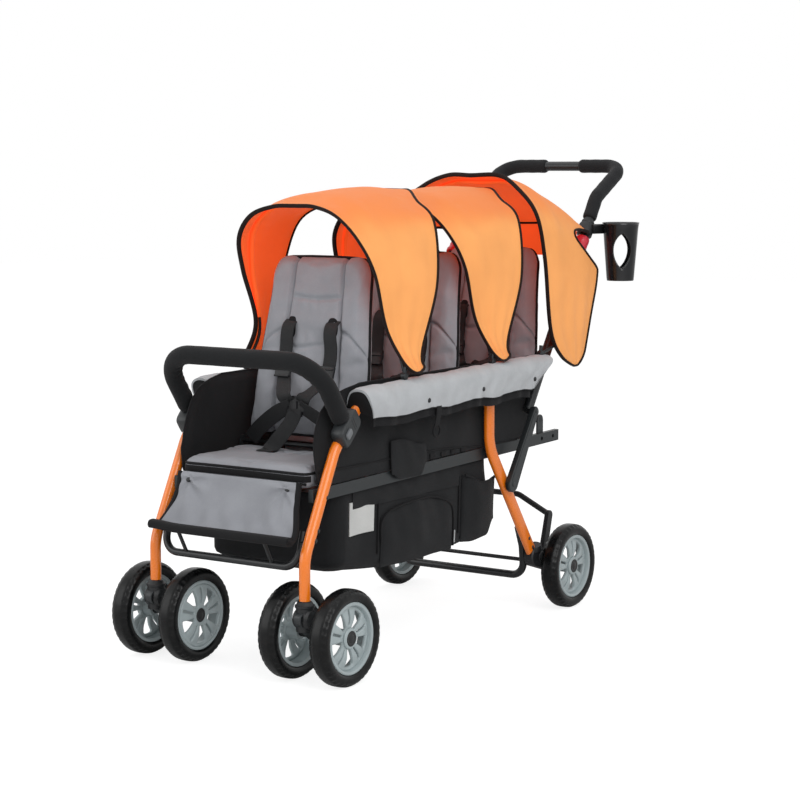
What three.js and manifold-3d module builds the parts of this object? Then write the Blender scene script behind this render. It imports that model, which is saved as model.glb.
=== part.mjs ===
// A folding stroller that carries three children in line, in millimetres.
// x runs across (left side positive), y from the front wheels to the handle, z up.
// While the pieces are made, y = 0 is the line of the front axles. The whole group
// is moved at the end so that its origin lies on the ground at the middle.

import * as THREE from 'three';
import { mergeVertices } from 'three/addons/utils/BufferGeometryUtils.js';
import Module from 'manifold-3d';

const wasm = await Module();
wasm.setup();

// Driving sizes of the wheels

const wheelRadius = 100;
const tyreWidth = 44;
const rimRadius = 74;
const rimWall = 7;
const rimWidth = 34;
const spokeDepth = 12;
const spokeCount = 5;
const hubRadius = 17;
const hubWidth = 40;
const axleRadius = 5;
const wheelFacets = 18;
const lugDepth = 1.6;
const wheelBase = 930;
const casterTrack = 396;
const rearWheelOffset = 48;
const rearTrack = casterTrack + 2 * rearWheelOffset;
const casterPairSpacing = 130;
const casterTrail = 48;

// Driving sizes of the frame

const frontTubeRadius = 11.5;
const rearTubeDepth = 30;
const rearTubeWidth = 18;
const armTubeRadius = 9;
const handleTubeRadius = 12;
const crossTubeRadius = 8;
const legX = casterTrack / 2;
const armOffset = 23;
const armX = legX + armOffset;
const clipInset = 5;
const clipX = armX - clipInset;
const railInset = 20;
const railX = legX - railInset;
const railWidth = 12;
const railHeight = 26;
const railFrontY = 0;
const railLength = 985;
const railFrontZ = 381;
const railRise = 24;
const runningGap = 0.3;
const tubeFacets = 10;
const smallFacets = 8;
const mergeDistance = 1e-3;
const casterTopZ = 176;
const frontBendZ = 262;
const frontKneeY = 55;
const frontKneeDrop = 108;
const frontTopY = 160;
const frontTopZ = 578;
const frontKneeZ = frontTopZ - frontKneeDrop;
const frontBendRadius = 90;
const rearTopY = 648;
const rearKneeZ = 412;
const rearEndY = 846;
const rearEndZ = 130;
const rearBendRadius = 110;
const armRailRearY = 862;
const armRailRise = 6;
const armRailRearZ = frontTopZ + armRailRise;
const rearTopDrop = 32;
const rearTopZ = armRailRearZ - rearTopDrop;

// Driving sizes of the fold and the handle

const foldPivotY = 15;
const rearPivotY = 656;
const linkLowY = 716;
const linkLowZ = 320;
const linkTopY = 816;
const linkTopDrop = 98;
const linkTopZ = frontTopZ - linkTopDrop;
const linkLowRadius = 18.5;
const linkTopRadius = 11;
const linkThickness = 12;
const linkOffset = 4;
const pivotBossRadius = 8;
const handleTopY = 1317;
const handleTopZ = 1049;
const handleInset = 26;
const handleTopX = legX - handleInset;
const handleElbowY = 1180;
const handleElbowZ = 972;
const handleBendRadius = 48;
const handleBendSteps = 2;
const gripRadius = 17;
const gripStartZ = 920;
const bareBarHalf = 50;
const latchLength = 55;
const latchRadius = 17;
const latchCollarStep = 2;
const latchZ = 830;

// Driving sizes of the rear axle group

const bracketWidth = 26;
const bracketLegRadius = 24;
const bracketAxleRadius = 20;
const curbTubeRadius = 9;
const curbInset = 24;
const curbX = legX - curbInset;
const curbTopY = 817;
const curbTopZ = 202;
const curbLowY = 845;
const curbLowZ = 80;
const curbBendRadius = 34;
const pedalArmThickness = 11;
const pedalInset = 26;
const pedalArmX = legX - pedalInset;
const pedalArmWidth = 20;
const pedalTopY = 962;
const pedalTopZ = 212;
const pedalBarRadius = 7;
const pedalRise = 42;

// Driving sizes of the front end

const footTubeRadius = 8;
const footBarY = -44;
const footBarZ = 240;
const footBoltZ = 312;
const footBendRadius = 36;
const calfTopInset = 33;
const calfTopHalf = legX - calfTopInset;
const calfLipInset = 15;
const calfLipHalf = legX - calfLipInset;
const calfThickness = 4;
const calfFoldDepth = 3;
const lipY = -86;
const lipZ = 298;
const lipThickness = 9;
const bumperRadius = 20;
const bumperPinRadius = 9;
const bumperPinLength = 18;
const bumperY = -12;
const bumperLift = 77;
const bumperZ = frontTopZ + bumperLift;
const bumperOffset = 6;
const bumperHalf = legX + bumperOffset;
const bumperBendRadius = 78;
const socketShift = 12;
const socketLength = 74;
const socketDepth = 44;
const socketWidth = 34;
const socketCornerRadius = 9;
const socketDrop = 73;
const socketAlongLeg = frontTopZ - socketDrop;
const buttonLength = 22;
const buttonDepth = 15;
const buttonProud = 4;
const buttonSeat = 6;
const buttonTravel = 3;

// Driving sizes of the seats

const seatCount = 3;
const seatFrontY = -2;
const cushionDepth = 226;
const cushionInset = 6;
const cushionHalf = railX - cushionInset;
const cushionThickness = 34;
const cushionCrown = 12;
const cushionTuck = 8;
const backPivotY = 222;
const railTail = 73;
const seatPitch = (railLength - backPivotY - railTail) / (seatCount - 1);
const backPivotZ = 447;
const backLength = 412;
const backBottomHalf = 148;
const backTopHalf = 116;
const backThickness = 30;
const backCrown = 7;
const backChannel = 5;
const backLeanDegrees = 10.5;
const backCornerRadius = 46;
const rodRadius = 5;
const wireRadius = 3.5;
const wireFacets = 6;
const backWireHalf = 108;
const backWireRise = 190;
const bailHalf = 62;
const bailReach = 85;
const bailFootRise = 24;
const hingePlateThickness = 4;
const hingePlateRadius = 13;
const strapWidth = 26;
const strapThickness = 3;
const shoulderSlotHalf = 62;
const shoulderSlotRise = 250;
const buckleSize = 38;
const buckleThickness = 14;
const buckleRise = 52;
const buckleFromBack = 84;

// Driving sizes of the side panels, basket and canopies

const panelThickness = 3;
const padThickness = 10;
const padFrontY = 112;
const padRearY = 866;
const padOuterOffset = 16;
const padOuterX = armX + padOuterOffset;
const padInnerOffset = 35;
const padInnerX = armX - padInnerOffset;
const padLift = 16;
const padTopZ = frontTopZ + padLift;
const padRise = 12;
const padDrop = 74;
const padHemZ = padTopZ - padDrop;
const panelOffset = 1;
const panelInnerX = railX + panelOffset;
const panelFrontY = 26;
const panelRearLowY = 742;
const panelFoldDepth = 2;
const basketHalf = railX;
const basketWall = 3;
const basketFrontY = 88;
const basketRearY = 690;
const basketRearTailY = 722;
const basketLowZ = 200;
const basketSag = 14;
const basketWindowY = 108;
const basketWindowLength = 66;
const basketWindowZ = 262;
const basketWindowHeight = 80;
const basketBandHeight = 34;
const canopyThickness = 2.4;
const canopyOffset = 7;
const canopyHalf = armX + canopyOffset;
const canopyRise = 354;
const canopyRearRise = 384;
const canopyReachFront = 146;
const canopyReachRear = 244;
const canopyCrown = 24;
const canopyTipY = 318;
const canopyTipDepth = 34;
const canopyTipLift = 17;
const canopyTipZ = padTopZ + canopyTipLift;
const canopySpread = 5;
const canopyPitch = seatPitch + canopySpread;
const lastTipShift = 18;
const lastTipY = canopyTipY + (seatCount - 1) * canopyPitch - lastTipShift;
const lastTipDrop = 20;
const lastTipZ = padTopZ - lastTipDrop;
const lastRimPull = 12;
const lastFrontRise = 454;
const lastRearRise = 338;
const lastSideReach = 91;
const bowRadius = 3.5;
const bowGap = 6;
const lastBowGap = 6;
const bowClipRadius = 8;
const clipSink = 0.8;
const bowShareOfDepth = 0.24;
const bowFootShare = 0.07;

// Driving sizes of the cup holder

const cupTopRadius = 44;
const cupBottomRadius = 33;
const cupHeight = 141;
const cupWall = 3;
const cupFacets = 12;
const cupOffset = 72;
const cupX = handleTopX + cupOffset;
const cupY = 1176;
const cupFloorZ = 771;
const cupWindowHeight = 74;
const cupWindowWidth = 56;
const cupClampRadius = 19;
const cupClampLength = 30;

// Colours and finishes

const colours = {
  orange: 0xff7d1a,
  canopy: 0xf9a25a,
  grey: 0x9c9ea4,
  cloth: 0x1f2024,
  steel: 0x2a2c2e,
  plastic: 0x18191b,
  foam: 0x141414,
  tyre: 0x17181a,
  rim: 0x8fa3a3,
  red: 0xc4303a,
  metal: 0x8a8d90,
};

// Helpers for solids

// The drawn radius of a bore with flat facets that clears a shaft of the given radius.
function boreOf(shaftRadius, facets) {
  return (shaftRadius + runningGap) / Math.cos(Math.PI / facets);
}

function signedVolume(geometry) {
  const p = geometry.getAttribute('position');
  const index = geometry.getIndex();
  const corner = [new THREE.Vector3(), new THREE.Vector3(), new THREE.Vector3()];
  let sum = 0;
  for (let i = 0; i < index.count; i += 3) {
    corner.forEach((c, k) => c.fromBufferAttribute(p, index.getX(i + k)));
    sum += corner[0].dot(corner[1].clone().cross(corner[2]));
  }
  return sum;
}

function turnInsideOut(geometry) {
  const index = geometry.getIndex();
  for (let i = 0; i < index.count; i += 3) {
    const first = index.getX(i);
    index.setX(i, index.getX(i + 2));
    index.setX(i + 2, first);
  }
  return geometry;
}

// Keeps only shared corner points, with every face looking out.
function closed(geometry) {
  const bare = new THREE.BufferGeometry();
  bare.setAttribute('position', geometry.getAttribute('position').clone());
  if (geometry.getIndex()) bare.setIndex(geometry.getIndex().clone());
  const merged = mergeVertices(bare, mergeDistance);
  const corners = merged.getIndex().array;
  const kept = [];
  for (let i = 0; i < corners.length; i += 3) {
    const [a, b, c] = corners.slice(i, i + 3);
    if (a !== b && b !== c && c !== a) kept.push(a, b, c);
  }
  merged.setIndex(kept);
  return signedVolume(merged) < 0 ? turnInsideOut(merged) : merged;
}

function toSolid(geometry) {
  const g = closed(geometry);
  const mesh = new wasm.Mesh({
    numProp: 3,
    vertProperties: new Float32Array(g.getAttribute('position').array),
    triVerts: new Uint32Array(g.getIndex().array),
  });
  mesh.merge();
  return new wasm.Manifold(mesh);
}

function toGeometry(solid) {
  const mesh = solid.getMesh();
  const g = new THREE.BufferGeometry();
  g.setAttribute('position', new THREE.BufferAttribute(new Float32Array(mesh.vertProperties), 3));
  g.setIndex(new THREE.BufferAttribute(new Uint32Array(mesh.triVerts), 1));
  return closed(g);
}

function join(...geometries) {
  const solids = geometries.map(toSolid);
  return toGeometry(solids.slice(1).reduce((sum, s) => sum.add(s), solids[0]));
}

function cut(geometry, ...tools) {
  return toGeometry(tools.map(toSolid).reduce((rest, s) => rest.subtract(s), toSolid(geometry)));
}

function mirrored(geometry) {
  return closed(geometry.clone().scale(-1, 1, 1));
}

const point = (x, y, z) => new THREE.Vector3(x, y, z);
const flat = (x, y) => new THREE.Vector2(x, y);

// A path of straight runs joined by round bends, with stations only where they are needed.
class BentPath extends THREE.Curve {
  constructor(corners, radius, bendSteps = 3, side = null) {
    super();
    this.side = side;
    this.stations = [];
    const last = corners.length - 1;
    corners.forEach((corner, i) => {
      if (i === 0 || i === last) {
        const ahead = i === 0 ? corners[1].clone().sub(corner) : corner.clone().sub(corners[last - 1]);
        this.stations.push({ at: corner.clone(), along: ahead.normalize() });
        return;
      }
      const into = corner.clone().sub(corners[i - 1]).normalize();
      const away = corners[i + 1].clone().sub(corner).normalize();
      const turn = into.angleTo(away);
      const reach = radius * Math.tan(turn / 2);
      const side = away.clone().addScaledVector(into, -away.dot(into)).normalize();
      const centre = corner.clone().addScaledVector(into, -reach).addScaledVector(side, radius);
      for (let k = 0; k <= bendSteps; k++) {
        const angle = turn * k / bendSteps;
        const at = centre.clone()
          .addScaledVector(into, radius * Math.sin(angle))
          .addScaledVector(side, -radius * Math.cos(angle));
        const along = into.clone().multiplyScalar(Math.cos(angle)).addScaledVector(side, Math.sin(angle));
        this.stations.push({ at, along });
      }
    });
  }
  getUtoTmapping(u) {
    return u;
  }
  place(t) {
    const spot = t * (this.stations.length - 1);
    const low = Math.min(Math.floor(spot + 1e-6), this.stations.length - 2);
    return { a: this.stations[low], b: this.stations[low + 1], share: spot - low };
  }
  getPoint(t) {
    const { a, b, share } = this.place(t);
    return a.at.clone().lerp(b.at, share);
  }
  getTangent(t) {
    const { a, b, share } = this.place(t);
    return a.along.clone().lerp(b.along, share).normalize();
  }
  // A section that is not round keeps its width along the given side direction.
  computeFrenetFrames(segments, isClosed) {
    if (!this.side) return super.computeFrenetFrames(segments, isClosed);
    const tangents = Array.from({ length: segments + 1 }, (_, i) => this.getTangent(i / segments));
    return {
      tangents,
      normals: tangents.map(() => this.side.clone()),
      binormals: tangents.map((t) => t.clone().cross(this.side)),
    };
  }
}

function circleShape(radius) {
  return new THREE.Shape().absarc(0, 0, radius, 0, 2 * Math.PI, false);
}

function ringShape(outer, inner) {
  const shape = circleShape(outer);
  shape.holes.push(new THREE.Path().absarc(0, 0, inner, 0, 2 * Math.PI, true));
  return shape;
}

function ovalShape(depth, width) {
  const shape = new THREE.Shape();
  const r = width / 2;
  const flatHalf = (depth - width) / 2;
  shape.absarc(0, flatHalf, r, 0, Math.PI, false);
  shape.absarc(0, -flatHalf, r, Math.PI, 2 * Math.PI, false);
  return shape;
}

function sweep(shape, path, curveSegments = 6) {
  return closed(new THREE.ExtrudeGeometry(shape, {
    extrudePath: path, steps: path.stations.length - 1, curveSegments,
  }));
}

function tube(corners, radius, bend = 0, sides = tubeFacets, bendSteps = 3) {
  return sweep(circleShape(radius), new BentPath(corners, bend, bendSteps), sides / 2);
}

// A round body of revolution about the x axis: profile pairs are [radius, x].
function turnedOnX(profile, segments = 16) {
  const lathe = new THREE.LatheGeometry(profile.map(([r, x]) => flat(r, x)), segments);
  return closed(lathe.rotateZ(-Math.PI / 2));
}

// A round body of revolution about the z axis: profile pairs are [radius, z].
function turnedOnZ(profile, segments = 16) {
  const lathe = new THREE.LatheGeometry(profile.map(([r, z]) => flat(r, z)), segments);
  return closed(lathe.rotateX(Math.PI / 2));
}

function discOnX(radius, fromX, toX, y, z, segments = smallFacets) {
  const low = Math.min(fromX, toX);
  const high = Math.max(fromX, toX);
  const disc = turnedOnX([[0, low], [radius, low], [radius, high], [0, high]], segments);
  return disc.translate(0, y, z);
}

// A plate drawn in the side view (y to the right, z up) and thickened along x.
function sidePlate(shape, fromX, thickness, bevel = 0, curveSegments = 8) {
  const plate = new THREE.ExtrudeGeometry(shape, {
    depth: thickness - 2 * bevel,
    bevelEnabled: bevel > 0,
    bevelThickness: bevel,
    bevelSize: bevel,
    bevelOffset: -bevel,
    bevelSegments: 1,
    curveSegments,
  });
  const turn = new THREE.Matrix4().makeBasis(point(0, 1, 0), point(0, 0, 1), point(1, 0, 0));
  return closed(plate.applyMatrix4(turn).translate(fromX + bevel, 0, 0));
}

// The outline round two circles, as on a link or a bracket.
function linkShape(y0, z0, r0, y1, z1, r1) {
  const angle = Math.atan2(z1 - z0, y1 - y0);
  const spread = Math.acos((r0 - r1) / Math.hypot(y1 - y0, z1 - z0));
  const shape = new THREE.Shape();
  shape.absarc(y0, z0, r0, angle + spread, angle - spread + 2 * Math.PI, false);
  shape.absarc(y1, z1, r1, angle - spread, angle + spread, false);
  return shape;
}

function roundedShape(width, height, radius) {
  const w = width / 2 - radius;
  const h = height / 2 - radius;
  const shape = new THREE.Shape();
  shape.absarc(w, h, radius, 0, Math.PI / 2, false);
  shape.absarc(-w, h, radius, Math.PI / 2, Math.PI, false);
  shape.absarc(-w, -h, radius, Math.PI, 1.5 * Math.PI, false);
  shape.absarc(w, -h, radius, 1.5 * Math.PI, 2 * Math.PI, false);
  return shape;
}

// A soft body: a fine block whose points are carried to their place by a rule.
// The rule gets a and b from 0 to 1 along the sheet and c from 0 to 1 through it.
function formed(alongCount, acrossCount, throughCount, rule) {
  const block = closed(new THREE.BoxGeometry(1, 1, 1, alongCount, acrossCount, throughCount));
  const p = block.getAttribute('position');
  for (let i = 0; i < p.count; i++) {
    const at = rule(p.getX(i) + 0.5, p.getY(i) + 0.5, p.getZ(i) + 0.5);
    p.setXYZ(i, at.x, at.y, at.z);
  }
  return closed(block);
}

const mix = THREE.MathUtils.lerp;
const smooth = (low, high, value) => THREE.MathUtils.smoothstep(value, low, high);
const railTopAt = (y) => railFrontZ + railRise * (y - railFrontY) / railLength + railHeight / 2;
const railLowAt = (y) => railTopAt(y) - railHeight;
const railMiddleAt = (y) => railTopAt(y) - railHeight / 2;

// Wheels

function tyre() {
  const half = tyreWidth / 2;
  const shoulder = wheelRadius - 0.32 * (wheelRadius - rimRadius);
  const wall = turnedOnX([
    [rimRadius, -0.85 * half],
    [shoulder, -half],
    [wheelRadius, -0.55 * half],
    [wheelRadius, 0.55 * half],
    [shoulder, half],
    [rimRadius, 0.85 * half],
    [rimRadius, -0.85 * half],
  ], wheelFacets);
  // Every other facet of the shoulder is a little lower, as the tread lugs are.
  const p = wall.getAttribute('position');
  for (let i = 0; i < p.count; i++) {
    const radius = Math.hypot(p.getY(i), p.getZ(i));
    const facet = Math.round(Math.atan2(p.getY(i), p.getZ(i)) / (2 * Math.PI) * wheelFacets);
    if (Math.abs(radius - shoulder) < lugDepth / 2 && facet % 2 !== 0) {
      const shrink = (radius - lugDepth) / radius;
      p.setXYZ(i, p.getX(i), p.getY(i) * shrink, p.getZ(i) * shrink);
    }
  }
  return wall;
}

function arcPoints(radius, startAngle, endAngle, count) {
  return Array.from({ length: count }, (_, k) => {
    const angle = mix(startAngle, endAngle, k / (count - 1));
    return flat(radius * Math.cos(angle), radius * Math.sin(angle));
  });
}

function spokeWindow(startAngle, endAngle, innerRadius, outerRadius) {
  const inset = 0.18 * (endAngle - startAngle);
  return new THREE.Path([
    ...arcPoints(outerRadius, startAngle, endAngle, 2),
    ...arcPoints(innerRadius, endAngle - inset, startAngle + inset, 2),
  ]);
}

function spokeSlot(angle, innerRadius, outerRadius, width) {
  const across = flat(-Math.sin(angle), Math.cos(angle)).multiplyScalar(width / 2);
  const inner = flat(Math.cos(angle), Math.sin(angle)).multiplyScalar(innerRadius);
  const outer = flat(Math.cos(angle), Math.sin(angle)).multiplyScalar(outerRadius);
  return new THREE.Path([
    inner.clone().add(across), outer.clone().add(across),
    outer.clone().sub(across), inner.clone().sub(across),
  ]);
}

// A five spoke rim. Each spoke is a pair of ribs with a slot between them. The outer
// face, with the cap over the axle, looks to +x.
function rim() {
  const axleBore = boreOf(axleRadius, smallFacets);
  const seat = rimRadius - runningGap;
  const barrelInner = seat - rimWall;
  const half = rimWidth / 2;
  const barrel = turnedOnX([
    [seat, -half], [seat, half], [barrelInner, half], [barrelInner, -half], [seat, -half],
  ], wheelFacets);
  const spokeTip = barrelInner + rimWall / 4;
  const edge = arcPoints(spokeTip, Math.PI / 2, 2.5 * Math.PI, wheelFacets + 1).slice(1);
  const shape = new THREE.Shape(edge);
  const step = 2 * Math.PI / spokeCount;
  shape.holes.push(new THREE.Path(arcPoints(0.75 * hubRadius, 0, 2 * Math.PI, smallFacets + 1).slice(1)));
  const windowRoot = 1.55 * hubRadius;
  const windowTip = barrelInner - rimWall / 2;
  for (let i = 0; i < spokeCount; i++) {
    const middle = i * step;
    shape.holes.push(spokeWindow(middle + 0.28 * step, middle + 0.72 * step, windowRoot, windowTip));
    shape.holes.push(spokeSlot(middle, windowRoot, windowTip, rimWall / 2));
  }
  const spokes = sidePlate(shape, half - spokeDepth - rimWall / 3, spokeDepth, 0, 3);
  const capFace = half + rimWall / 3;
  const hub = turnedOnX([
    [0, capFace], [hubRadius - rimWall / 3, capFace], [hubRadius, half],
    [hubRadius, -hubWidth / 2],
    [axleBore, -hubWidth / 2],
    [axleBore, half - spokeDepth / 2], [0, half - spokeDepth / 2],
  ], smallFacets);
  return join(barrel, spokes, hub);
}

const axleEnd = rimWidth / 2 - spokeDepth / 2 - 2 * runningGap;

// Caster units: a moulded yoke with the swivel collar over the trail, and the cross axle.
function casterFork() {
  const yokeWidth = casterPairSpacing - tyreWidth - hubWidth;
  const collarRadius = 1.6 * frontTubeRadius;
  const yoke = sidePlate(
    linkShape(-casterTrail, casterTopZ - collarRadius - yokeWidth / 4, collarRadius + yokeWidth / 12,
      0, wheelRadius, collarRadius),
    -yokeWidth / 2, yokeWidth, yokeWidth / 12, 4);
  const collar = turnedOnZ([
    [0, casterTopZ - 2 * collarRadius], [collarRadius, casterTopZ - 2 * collarRadius],
    [collarRadius, casterTopZ - collarRadius / 2],
    [frontTubeRadius + rimWall / 3, casterTopZ], [0, casterTopZ],
  ], tubeFacets).translate(0, -casterTrail, 0);
  const reach = casterPairSpacing / 2;
  const spacerEnd = reach - hubWidth / 2 - runningGap;
  const axle = discOnX(axleRadius, -reach - axleEnd, reach + axleEnd, 0, wheelRadius);
  const spacer = discOnX(2 * axleRadius, -spacerEnd, spacerEnd, 0, wheelRadius);
  const body = join(yoke, collar, axle, spacer);
  const stemBoreRadius = boreOf(stemRadius, smallFacets);
  const stemBore = turnedOnZ([
    [0, casterTopZ - collarRadius], [stemBoreRadius, casterTopZ - collarRadius],
    [stemBoreRadius, casterTopZ + collarRadius], [0, casterTopZ + collarRadius],
  ], smallFacets).translate(0, -casterTrail, 0);
  return cut(body, stemBore);
}

const stemRadius = frontTubeRadius / 2;

// Frame tubes

function frontLegCorners() {
  return [
    point(legX, -casterTrail, casterTopZ + runningGap),
    point(legX, -casterTrail, frontBendZ),
    point(legX, frontKneeY, frontKneeZ),
    point(legX, frontTopY, frontTopZ),
  ];
}

function frontLeg() {
  const leg = tube(frontLegCorners(), frontTubeRadius, frontBendRadius);
  const stem = turnedOnZ([
    [0, casterTopZ - frontTubeRadius], [stemRadius, casterTopZ - frontTubeRadius],
    [stemRadius, casterTopZ + frontTubeRadius], [0, casterTopZ + frontTubeRadius],
  ], smallFacets).translate(legX, -casterTrail, 0);
  const armBoss = discOnX(pivotBossRadius, legX, armX - armTubeRadius - runningGap,
    frontTopY - frontTubeRadius, frontTopZ - frontTubeRadius);
  return join(leg, stem, armBoss);
}

function rearLegCorners() {
  return [
    point(legX, rearTopY, rearTopZ),
    point(legX, rearTopY, rearKneeZ),
    point(legX, rearEndY, rearEndZ),
  ];
}

function rearLegTube(clearance) {
  const shape = ovalShape(rearTubeDepth + 2 * clearance, rearTubeWidth + 2 * clearance);
  return sweep(shape, new BentPath(rearLegCorners(), rearBendRadius, 4, point(1, 0, 0)), 3);
}

function rearLeg() {
  const boss = discOnX(pivotBossRadius, legX, linkInnerX - runningGap, linkLowY, linkLowZ);
  return join(rearLegTube(0), boss);
}

function seatFrame() {
  const half = railHeight / 2;
  const start = railMiddleAt(railFrontY);
  const end = start + railRise;
  const bar = new THREE.Shape([
    flat(railFrontY, start - half), flat(railFrontY + railLength, end - half),
    flat(railFrontY + railLength, end + half), flat(railFrontY, start + half),
  ]);
  const holeRadius = railHeight / 5;
  [1, 3].forEach((n) => {
    const y = railFrontY + railLength - n * railHeight;
    bar.holes.push(new THREE.Path().absarc(y, railMiddleAt(y), holeRadius, 0, 2 * Math.PI, true));
  });
  const left = sidePlate(bar, railX - railWidth / 2, railWidth, 0, 4);
  const inner = railX + railWidth / 2 - railWidth / 4;
  const frontBoss = discOnX(pivotBossRadius, inner, legX - frontTubeRadius - runningGap,
    foldPivotY, railMiddleAt(foldPivotY), 12);
  const rearBoss = discOnX(pivotBossRadius, inner, legX - rearTubeWidth / 2 - runningGap,
    rearPivotY, railMiddleAt(rearPivotY), 12);
  const side = join(left, frontBoss, rearBoss);
  const crossTubes = [];
  const hingePlates = [];
  const rodHoles = [];
  for (let i = 0; i < seatCount; i++) {
    const y = seatFrontY + i * seatPitch + 0.6 * cushionDepth;
    crossTubes.push(discOnX(crossTubeRadius, -railX, railX, y, railTopAt(y) - crossTubeRadius));
    const pivotY = backPivotY + i * seatPitch;
    hingePlates.push(sidePlate(linkShape(pivotY, railMiddleAt(pivotY), railHeight / 2, pivotY, backPivotZ,
      hingePlateRadius), hingePlateX(), hingePlateThickness, 0, 3));
    rodHoles.push(discOnX(boreOf(rodRadius, smallFacets), -2 * railX, 2 * railX, pivotY, backPivotZ));
  }
  const frame = join(side, mirrored(side), ...crossTubes, ...hingePlates, ...hingePlates.map(mirrored));
  return cut(frame, ...rodHoles);
}

function armRail() {
  const y = frontTopY - 2 * frontTubeRadius;
  return tube([point(armX, y, frontTopZ - frontTubeRadius),
    point(armX, armRailRearY, armRailRearZ)], armTubeRadius);
}

// Handle: one tube with a slant arm each side, a bend to the crossbar, and foam grips.
function handleArmAt(z) {
  const share = (z - linkTopZ) / (handleElbowZ - linkTopZ);
  return point(mix(legX, handleTopX, share), mix(linkTopY, handleElbowY, share), z);
}

function handleCorners() {
  return [
    handleArmAt(linkTopZ),
    handleArmAt(handleElbowZ),
    point(handleTopX, handleTopY, handleTopZ),
    point(-handleTopX, handleTopY, handleTopZ),
    handleArmAt(handleElbowZ).multiply(point(-1, 1, 1)),
    handleArmAt(linkTopZ).multiply(point(-1, 1, 1)),
  ];
}

const linkInnerX = armX - linkThickness / 2 - linkOffset;

function handleTube() {
  const bar = tube(handleCorners(), handleTubeRadius, handleBendRadius, tubeFacets, handleBendSteps);
  const boss = discOnX(pivotBossRadius, legX, linkInnerX - runningGap, linkTopY, linkTopZ);
  return join(bar, boss, mirrored(boss));
}

function handleGrip() {
  const start = handleArmAt(gripStartZ);
  const corners = [start, handleArmAt(handleElbowZ), point(handleTopX, handleTopY, handleTopZ),
    point(bareBarHalf, handleTopY, handleTopZ)];
  const path = new BentPath(corners, handleBendRadius, handleBendSteps);
  return sweep(ringShape(gripRadius, boreOf(handleTubeRadius, tubeFacets)), path, tubeFacets / 2);
}

// The sliding sleeve of the fold lock, with a finger collar at its lower end.
function foldLatch() {
  const low = handleArmAt(latchZ);
  const along = handleArmAt(handleElbowZ).sub(low).normalize();
  const bore = boreOf(handleTubeRadius, tubeFacets);
  const collarRadius = latchRadius + latchCollarStep;
  const sleeve = turnedOnZ([
    [bore, 0], [collarRadius, 0], [collarRadius, latchLength / 5], [latchRadius, latchLength / 4],
    [latchRadius, latchLength], [bore, latchLength], [bore, 0],
  ], tubeFacets);
  const turn = new THREE.Quaternion().setFromUnitVectors(point(0, 0, 1), along);
  return closed(sleeve.applyQuaternion(turn).translate(low.x, low.y, low.z));
}

function foldLink() {
  const outline = linkShape(linkLowY, linkLowZ, linkLowRadius, linkTopY, linkTopZ, linkTopRadius);
  const plate = sidePlate(outline, linkInnerX, linkThickness, linkThickness / 6, 4);
  const rivetRadius = pivotBossRadius / 2;
  const face = linkInnerX + linkThickness;
  const rivets = [[linkLowY, linkLowZ], [linkTopY, linkTopZ]].map(([y, z]) => discOnX(
    rivetRadius, face - linkThickness / 2, face + linkThickness / 6, y, z));
  return join(plate, ...rivets);
}

// Rear axle with its two moulded brackets, the curb bar and the foot brake.
function rearAxle() {
  const y = wheelBase;
  const reach = rearTrack / 2 + axleEnd;
  const rod = discOnX(axleRadius, -reach, reach, y, wheelRadius);
  const bracket = sidePlate(linkShape(rearEndY, rearEndZ, bracketLegRadius, y, wheelRadius, bracketAxleRadius),
    legX - bracketWidth / 2, bracketWidth, bracketWidth / 10, 3);
  const spacer = discOnX(2 * axleRadius, legX, rearTrack / 2 - hubWidth / 2 - runningGap, y, wheelRadius);
  const left = cut(join(bracket, spacer), rearLegTube(runningGap));
  return join(rod, left, mirrored(left));
}

function curbBar() {
  const side = [point(curbX, curbTopY, curbTopZ), point(curbX, mix(curbTopY, curbLowY, 0.7),
    mix(curbTopZ, curbLowZ, 0.4)), point(curbX, curbLowY, curbLowZ)];
  const otherSide = side.map((p) => p.clone().multiply(point(-1, 1, 1))).reverse();
  const bar = tube([...side, ...otherSide], curbTubeRadius, curbBendRadius, smallFacets);
  const legFace = legX - rearTubeWidth / 2 - runningGap;
  const bolt = discOnX(curbTubeRadius / 2, curbX, legFace, curbTopY - curbTubeRadius / 2,
    curbTopZ - curbTubeRadius);
  return join(bar, bolt, mirrored(bolt));
}

function brakePedal() {
  const y = wheelBase;
  const ringRadius = 2.4 * axleRadius;
  const arm = sidePlate(linkShape(y, wheelRadius, ringRadius, pedalTopY, pedalTopZ, pedalArmWidth / 2),
    pedalArmX - pedalArmThickness / 2, pedalArmThickness, 0, 3);
  const bend = point(0.5 * pedalArmX, pedalTopY, pedalTopZ + pedalRise);
  const bar = tube([
    point(pedalArmX, pedalTopY, pedalTopZ), bend, bend.clone().multiply(point(-1, 1, 1)),
    point(-pedalArmX, pedalTopY, pedalTopZ),
  ], pedalBarRadius, curbBendRadius, smallFacets);
  const bore = discOnX(boreOf(axleRadius, smallFacets), -2 * pedalArmX, 2 * pedalArmX, y, wheelRadius);
  return cut(join(arm, mirrored(arm), bar), bore);
}

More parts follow.
